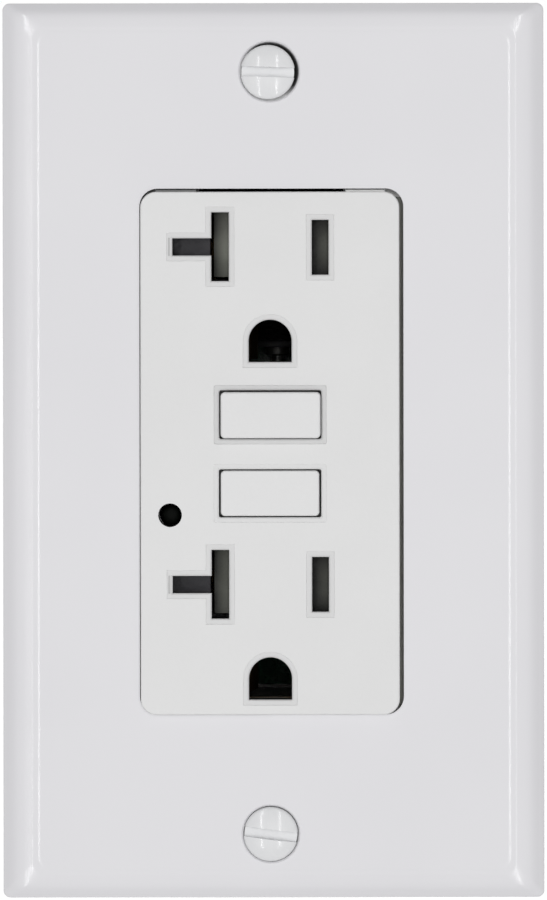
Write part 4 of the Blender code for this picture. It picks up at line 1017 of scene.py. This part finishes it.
# ---- rear housing and its screws
def rear_housing(M):
    n = 8
    y0, y1 = BODY_Y0, BODY_Y1
    stack = [(rrect(BODY_W, BODY_H, 2.2, 0, 0, n), y0), (rrect(BODY_W - 0.4, BODY_H - 0.4, 2.2, 0, 0, n), y1 - 1.1)]
    for a in range(15, 91, 15):
        s, c = math.sin(math.radians(a)), math.cos(math.radians(a))
        stack.append((rrect(BODY_W - 0.4 - 2.0 * (1 - c), BODY_H - 0.4 - 2.0 * (1 - c), 2.2 - 0.5 * (1 - c), 0, 0, n), y1 - 1.1 + 1.1 * s))
    ob = loft_y(stack)
    cut(ob, prism_y(rrect(39.4, 65.4, 1.2, 0, 0, 5), 8, 31.0))
    adds = []
    for sx in (-1, 1):
        for sz in (-1, 1):
            adds.append(cyl(2.9, y0 + 0.05, 31.5, "y", (sx * POST_X, 0, sz * POST_Z), 36))
        for zt in TERM_Z:
            x0, x1 = sorted((sx * 12.4, sx * 20.6))
            adds.append(box(x0, x1, 11.3, 31.5, zt - 7.7, zt + 7.7))
    join(ob, *adds)
    cuts = []
    for sx in (-1, 1):
        for sz in (-1, 1):
            cuts.append(turn([(1.35, 8), (1.35, 30.4), (2.55, 30.5), (2.55, 32.6), (2.85, 33.1), (2.85, 34)], "y", (sx * POST_X, 0, sz * POST_Z), 40))
        for zt in TERM_Z:
            x0, x1 = sorted((sx * 13.6, sx * 23))
            cuts.append(box(x0, x1, 12.5, 27.0, zt - 6.5, zt + 6.5))
            s = -1 if zt > 0 else 1
            z0, z1 = sorted((zt + s * 4.1, zt + s * 5.9))
            x0, x1 = sorted((sx * 12.0, sx * 14.0))
            cuts.append(box(x0, x1, 15.6, 20.4, z0, z1))
            for dz in (-2.6, 2.6):
                cuts.append(turn([(1.3, 26.5), (1.3, 31.9), (1.5, 32.5), (2.0, 33.3)], "y", (sx * 16.1, 0, zt + dz), 36))
            # wire release slots beside the funnels
            cuts.append(box(sx * 16.1 - 0.6 + sx * 2.7, sx * 16.1 + 0.6 + sx * 2.7, 31.6, 34, zt - 1.6, zt + 1.6))
        # shallow grip grooves on the long sides
        for k in range(5):
            z = -3.2 + 1.6 * k
            cuts.append(prism_y([(sx * 21.8, z - 0.35), (sx * 21.15, z), (sx * 21.8, z + 0.35)], 12.5, 29.5))
    # shallow recessed panel on the back with a raised cross wall, and moulding marks
    cuts.append(cut(prism_y(rrect(20.0, 50.0, 1.2, 0, 0, 6), 32.55, 34), prism_y(rrect(22, 1.0, 0.2, 0, 0, 2), 30, 35),
                    prism_y(rrect(22, 1.0, 0.2, 0, 17, 2), 30, 35), prism_y(rrect(22, 1.0, 0.2, 0, -17, 2), 30, 35)))
    for z in (-29.0, 29.0):
        cuts.append(cyl(1.6, 32.8, 34, "y", (0, 0, z), 32))
    for sz in (-1, 1):
        for x in (-12, -6, 0, 6, 12):
            cuts.append(box(x - 0.5, x + 0.5, 13.0, 27.0, *sorted((sz * 34.1, sz * 35.5))))
    cut(ob, *cuts)
    return piece(ob, "v_rear_housing", "device", M["housing"], bevel=0.12, seg=2, limit=28)


def housing_screw(M, name, sx, sz):
    c = (sx * POST_X, 0, sz * POST_Z)
    ob = turn([(0.4, 32.42), (1.0, 32.38), (1.6, 32.25), (2.05, 31.95), (2.2, 31.6), (2.2, 30.85), (2.05, 30.72), (1.1, 30.7), (1.1, 6.8),
               (0.9, 6.45), (0.5, 6.3)], "y", c, 40)
    cut(ob, loft_y([(rrect(2.4, 0.44, 0.05, c[0], c[2], 2), 31.6), (rrect(3.0, 0.66, 0.05, c[0], c[2], 2), 33)]),
        loft_y([(rrect(0.44, 2.4, 0.05, c[0], c[2], 2), 31.6), (rrect(0.66, 3.0, 0.05, c[0], c[2], 2), 33)]))
    return piece(ob, "v_" + name, "device", M["zinc"], bevel=0.05, seg=2, limit=32)


# ---- terminals
def terminal(M, name, sx, zt, slot):
    s = -1 if zt > 0 else 1
    mat = M[slot]

    def bx(x0, x1, ya, yb, z0, z1):
        a, b = sorted((sx * x0, sx * x1))
        z0, z1 = sorted((z0, z1))
        return box(a, b, ya, yb, z0, z1)

    def plate(x0, x1, ya, yb, z0, z1, r):
        a, b = sorted((sx * x0, sx * x1))
        z0, z1 = sorted((z0, z1))
        return prism_x(rrect(yb - ya, z1 - z0, r, (ya + yb) / 2, (z0 + z1) / 2, 5), a, b)
    c = (0, TERM_Y, zt)
    ob = plate(17.6, 18.6, 14.6, 25.2, zt - s * 4.6, zt + s * 5.5, 0.6)
    join(ob, bx(11.3, 18.2, 16.0, 20.0, zt + s * 4.5, zt + s * 5.5))
    t0, t1 = sorted((sx * 16, sx * 20))
    cut(ob, cyl(2.25, t0, t1, "x", c, 36))
    out = [piece(ob, "v_%s_terminal" % name, "device", mat, bevel=0.09, seg=2, limit=32)]
    ob = plate(16.25, 17.25, 15.0, 24.5, zt - s * 4.4, zt + s * 4.2, 0.6)
    t0, t1 = sorted((sx * 12, sx * 20))
    grooves = []
    for k in range(6):
        z = zt - 3.2 + 1.28 * k
        grooves.append(prism_y([(sx * 17.35, z - 0.3), (sx * 16.95, z), (sx * 17.35, z + 0.3)], 14, 26))
    cut(ob, cyl(2.25, t0, t1, "x", c, 36), *grooves)
    out.append(piece(ob, "v_%s_clamp" % name, name + "_clamp", mat, bevel=0.07, seg=2, limit=32))
    prof = [(0.5, sx * 21.32), (1.4, sx * 21.28), (2.4, sx * 21.15), (3.1, sx * 20.95), (3.6, sx * 20.65), (3.88, sx * 20.25), (3.98, sx * 19.85),
            (4.0, sx * 19.1), (3.9, sx * 18.92), (3.7, sx * 18.86), (1.7, sx * 18.85), (1.7, sx * 16.9)]
    ob = turn(prof, "x", c, 56)
    join(ob, thread_rod(1.58, 1.95, sx * 17.6, sx * 13.95, "x", c, n=24, per=8, tip=0.9))
    h0, h1 = sorted((sx * 20.3, sx * 22))
    cut(ob, box(h0, h1, TERM_Y - 3.6, TERM_Y + 3.6, zt - 0.55, zt + 0.55), box(h0, h1, TERM_Y - 0.55, TERM_Y + 0.55, zt - 2.2, zt + 2.2))
    out.append(piece(ob, "v_%s_screw" % name, name + "_screw", mat, bevel=0.07, seg=2, limit=32))
    return out


# ---- shutters and light pipe
def shutters(M, tag, cz):
    ob = box(-7.22, 8.2, 2.4, 3.55, cz - 5.4, cz + 4.9)
    cut(ob, box(2.9, 5.15, 2, 4, cz - 3.8, cz + 3.8), box(-3.2, 1.2, 2, 4, cz - 3.2, cz + 3.2),
        box(-8, -4.9, 2, 4, cz - 6, cz - 3.75))
    out = [piece(ob, "v_blade_shutter_" + tag, "blade_shutter_" + tag, M["olive_" + tag], bevel=0.06, seg=2, limit=28)]
    ob = box(-12.75, -7.75, 3.85, 4.95, cz - 1.4, cz + 1.4)
    join(ob, box(-12.75, -11.4, 3.85, 4.95, cz - 5.2, cz + 1.4))
    out.append(piece(ob, "v_leg_shutter_" + tag, "leg_shutter_" + tag, M["slate"], bevel=0.1, seg=2, limit=28))
    return out


def spring(M, name, r, wire, t0, t1, turns, axis, c):
    """Coil spring with closed, flattened end turns."""
    per, sides = 28, 10
    stack = []
    total = int(turns * per)
    for k in range(total + 1):
        u = k / total
        a = 2 * math.pi * turns * u
        e = 0.10
        w = u + (-(e - u) ** 2 / (2 * e) if u < e else 0.0) + ((u - 1 + e) ** 2 / (2 * e) if u > 1 - e else 0.0)
        w = (w + e / 2) / (1 + e)
        t = t0 + wire + (t1 - t0 - 2 * wire) * w
        ring = []
        for s in range(sides):
            b = 2 * math.pi * s / sides
            rr, tt = r + wire * math.cos(b), t + wire * math.sin(b)
            p, q = rr * math.cos(a), rr * math.sin(a)
            ring.append({"y": (c[0] + p, c[1] + tt, c[2] + q), "x": (c[0] + tt, c[1] + p, c[2] + q),
                         "z": (c[0] + p, c[1] + q, c[2] + tt)}[axis])
        stack.append(ring)
    ob = piece(rings(stack), "v_" + name, "device", M["spring"], limit=60)
    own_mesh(ob)
    return ob


# ------------------------------------------------------------------ looks for the nodes that stay
def dress(node, mat, bevel=0.06, limit=32.0):
    """Give a kept node softened edges and its material; its own mesh is left as it is."""
    ob = NODES[node]
    me = ob.data
    me.shade_smooth()
    w = ob.modifiers.new("weld", "WELD")
    w.merge_threshold = 0.000002
    if bevel:
        b = ob.modifiers.new("edges", "BEVEL")
        b.width = bevel * MM
        b.segments = 2
        b.limit_method = "ANGLE"
        b.angle_limit = math.radians(limit)
        b.harden_normals = True
    me.materials.clear()
    me.materials.append(mat)
    for p in me.polygons:
        p.material_index = 0


# ------------------------------------------------------------------ floor, light, camera
def stage():
    me = bpy.data.meshes.new("floor")
    bm = bmesh.new()
    bmesh.ops.create_grid(bm, x_segments=8, y_segments=8, size=6.0)
    bm.to_mesh(me)
    bm.free()
    floor = bpy.data.objects.new("floor", me)
    floor.location = (0, 0, -0.0576)
    bpy.context.scene.collection.objects.link(floor)
    m = Nodes("floor_pale")
    tone = m.mix(m.span(m.noise(6.0, 3.0), 0.3, 0.7, 0.0, 1.0), (0.86, 0.86, 0.86), (0.88, 0.88, 0.88))
    m.finish(tone, 0.8, spec=0.1)
    m.b.inputs["Emission Color"].default_value = (1, 1, 1, 1)
    lp = m.node("ShaderNodeLightPath")
    m.link(m.math("ADD", 0.08, m.math("MULTIPLY", lp.outputs["Is Camera Ray"], 0.53)), m.b.inputs["Emission Strength"])
    me.materials.append(m.mat)
    # the floor shows its colour and the object's shadow but sends no light back up
    floor.visible_diffuse = False
    floor.visible_glossy = False
    floor.visible_shadow = False

    w = bpy.data.worlds.new("studio")
    bpy.context.scene.world = w
    w.use_nodes = True
    t = w.node_tree
    t.nodes.clear()
    co = t.nodes.new("ShaderNodeTexCoord").outputs["Generated"]
    sep = t.nodes.new("ShaderNodeSeparateXYZ")
    t.links.new(co, sep.inputs[0])

    def math_(op, a, b):
        n = t.nodes.new("ShaderNodeMath")
        n.operation = op
        for k, v in enumerate((a, b)):
            if isinstance(v, (int, float)):
                n.inputs[k].default_value = v
            else:
                t.links.new(v, n.inputs[k])
        return n.outputs[0]
    ahead = math_("MAXIMUM", math_("MULTIPLY", sep.outputs[1], -1.0), 0.0)
    front = math_("POWER", ahead, W_POW)
    behind = math_("MAXIMUM", sep.outputs[1], 0.0)
    behind = math_("MULTIPLY", math_("MINIMUM", math_("MULTIPLY", behind, 1.6), 1.0), W_BACK)
    low = math_("MULTIPLY", sep.outputs[2], -W_LOW)
    level = math_("ADD", math_("ADD", math_("MULTIPLY", front, W_FRONT), W_BASE), low)
    level = math_("ADD", math_("MAXIMUM", level, 0.05), behind)
    soft = t.nodes.new("ShaderNodeBackground")
    t.links.new(level, soft.inputs["Strength"])
    soft.inputs["Color"].default_value = (1.0, 1.0, 1.0, 1)
    plain = t.nodes.new("ShaderNodeBackground")
    plain.inputs["Color"].default_value = (1, 1, 1, 1)
    plain.inputs["Strength"].default_value = 1.0
    lp = t.nodes.new("ShaderNodeLightPath")
    mix = t.nodes.new("ShaderNodeMixShader")
    t.links.new(lp.outputs["Is Camera Ray"], mix.inputs[0])
    t.links.new(soft.outputs[0], mix.inputs[1])
    t.links.new(plain.outputs[0], mix.inputs[2])
    out = t.nodes.new("ShaderNodeOutputWorld")
    t.links.new(mix.outputs[0], out.inputs[0])

    for name, x, y, z, width, height, power in STRIPS:
        l = bpy.data.lights.new(name, "AREA")
        l.shape = "RECTANGLE"
        l.size, l.size_y = width, height
        l.energy = power
        ob = bpy.data.objects.new(name, l)
        ob.location = (x, y, z)
        ob.rotation_euler = (Vector((0, 0, 0)) - Vector((x, y, 0))).to_track_quat("-Z", "Y").to_euler()
        bpy.context.scene.collection.objects.link(ob)

    cam = bpy.data.cameras.new("cam")
    ob = bpy.data.objects.new("cam", cam)
    bpy.context.scene.collection.objects.link(ob)
    ob.location = CAM
    ob.rotation_euler = (math.radians(90), math.radians(CAM_ROLL), 0)
    cam.sensor_fit = "AUTO"
    cam.sensor_width = 36.0
    cam.lens = 163.88
    cam.clip_start, cam.clip_end = 0.01, 50.0
    # lens shift for the front view only: it fades out as the camera leaves this place
    spot = bpy.data.objects.new("front_view_spot", None)
    spot.location = CAM
    bpy.context.scene.collection.objects.link(spot)
    for prop, value in (("shift_x", CAM_SHIFT[0]), ("shift_y", CAM_SHIFT[1])):
        fc = cam.driver_add(prop)
        fc.driver.type = "SUM"
        v = fc.driver.variables.new()
        v.name = "away"
        v.type = "LOC_DIFF"
        v.targets[0].id = ob
        v.targets[1].id = spot
        for mod in list(fc.modifiers):
            fc.modifiers.remove(mod)
        for away, y in ((-0.1, value), (0.04, value), (0.08, 0.0), (0.5, 0.0)):
            k = fc.keyframe_points.insert(away, y)
            k.interpolation = "LINEAR"
        fc.extrapolation = "CONSTANT"
    sc = bpy.context.scene
    sc.camera = ob
    sc.view_settings.view_transform = "Standard"
    sc.view_settings.look = "None"
    sc.view_settings.exposure = 0.0
    sc.view_settings.gamma = 1.0
    return ob


def main():
    M = build_materials()
    wall_plate(M)
    plate_screw(M, "plate_screw_upper", *PLATE_SCREWS[0], -2.0)
    plate_screw(M, "plate_screw_lower", *PLATE_SCREWS[1], -7.0)
    face_cover(M)
    buttons(M)
    latch_plate(M)
    strap(M)
    ground_contact(M, "ground_contact_upper", OUTLET_Z[0] - GROUND_DROP)
    ground_contact(M, "ground_contact_lower", OUTLET_Z[1] - GROUND_DROP)
    box_screw(M, "box_screw_upper", BOX_SCREW_Z)
    box_screw(M, "box_screw_lower", -BOX_SCREW_Z)
    ground_screw(M)
    ground_clamp(M)
    rear_housing(M)
    for nx, sx in (("left", -1), ("right", 1)):
        for nz, sz in (("upper", 1), ("lower", -1)):
            housing_screw(M, "housing_screw_%s_%s" % (nz, nx), sx, sz)
    terminal(M, "load_hot", 1, TERM_Z[0], "brass")
    terminal(M, "line_hot", 1, TERM_Z[1], "brass")
    terminal(M, "load_neutral", -1, TERM_Z[0], "nickel")
    terminal(M, "line_neutral", -1, TERM_Z[1], "nickel")
    shutters(M, "upper", OUTLET_Z[0])
    shutters(M, "lower", OUTLET_Z[1])
    z = BTN_Z[0] - 0.1
    spring(M, "reset_spring", 2.4, 0.24, 3.65, 8.95, 5, "y", (0, 0, z))
    for tag, cz in (("upper", OUTLET_Z[0]), ("lower", OUTLET_Z[1])):
        spring(M, "shutter_spring_" + tag, 0.95, 0.14, 8.45, 14.4, 8, "x", (0, 3.1, cz))
    spring(M, "plunger_spring", 2.2, 0.22, 27.05, 30.7, 4, "z", (0, 23.6, 0))
    for node, key, b in (("middle_frame", "black", 0.12), ("light_pipe", "lens", 0.05), ("indicator_led", "led", 0.06),
                         ("hot_contact_bus", "shaded_brass", 0.08), ("neutral_contact_bus", "shaded_brass", 0.08),
                         ("hot_contact_arm", "copper", 0.08), ("neutral_contact_arm", "copper", 0.08), ("test_leaf", "copper", 0.05),
                         ("latch_block", "black", 0.12), ("solenoid_bobbin", "black", 0.08),
                         ("solenoid_winding", "winding", 0.15), ("solenoid_plunger", "zinc", 0.08), ("circuit_board", "board", 0.05),
                         ("sensor_transformer", "black", 0.2), ("varistor", "varistor", 0.15), ("capacitor", "capacitor", 0.1),
                         ("control_chip", "black", 0.04)):
        dress(node, M[key], b)
    stage()


main()
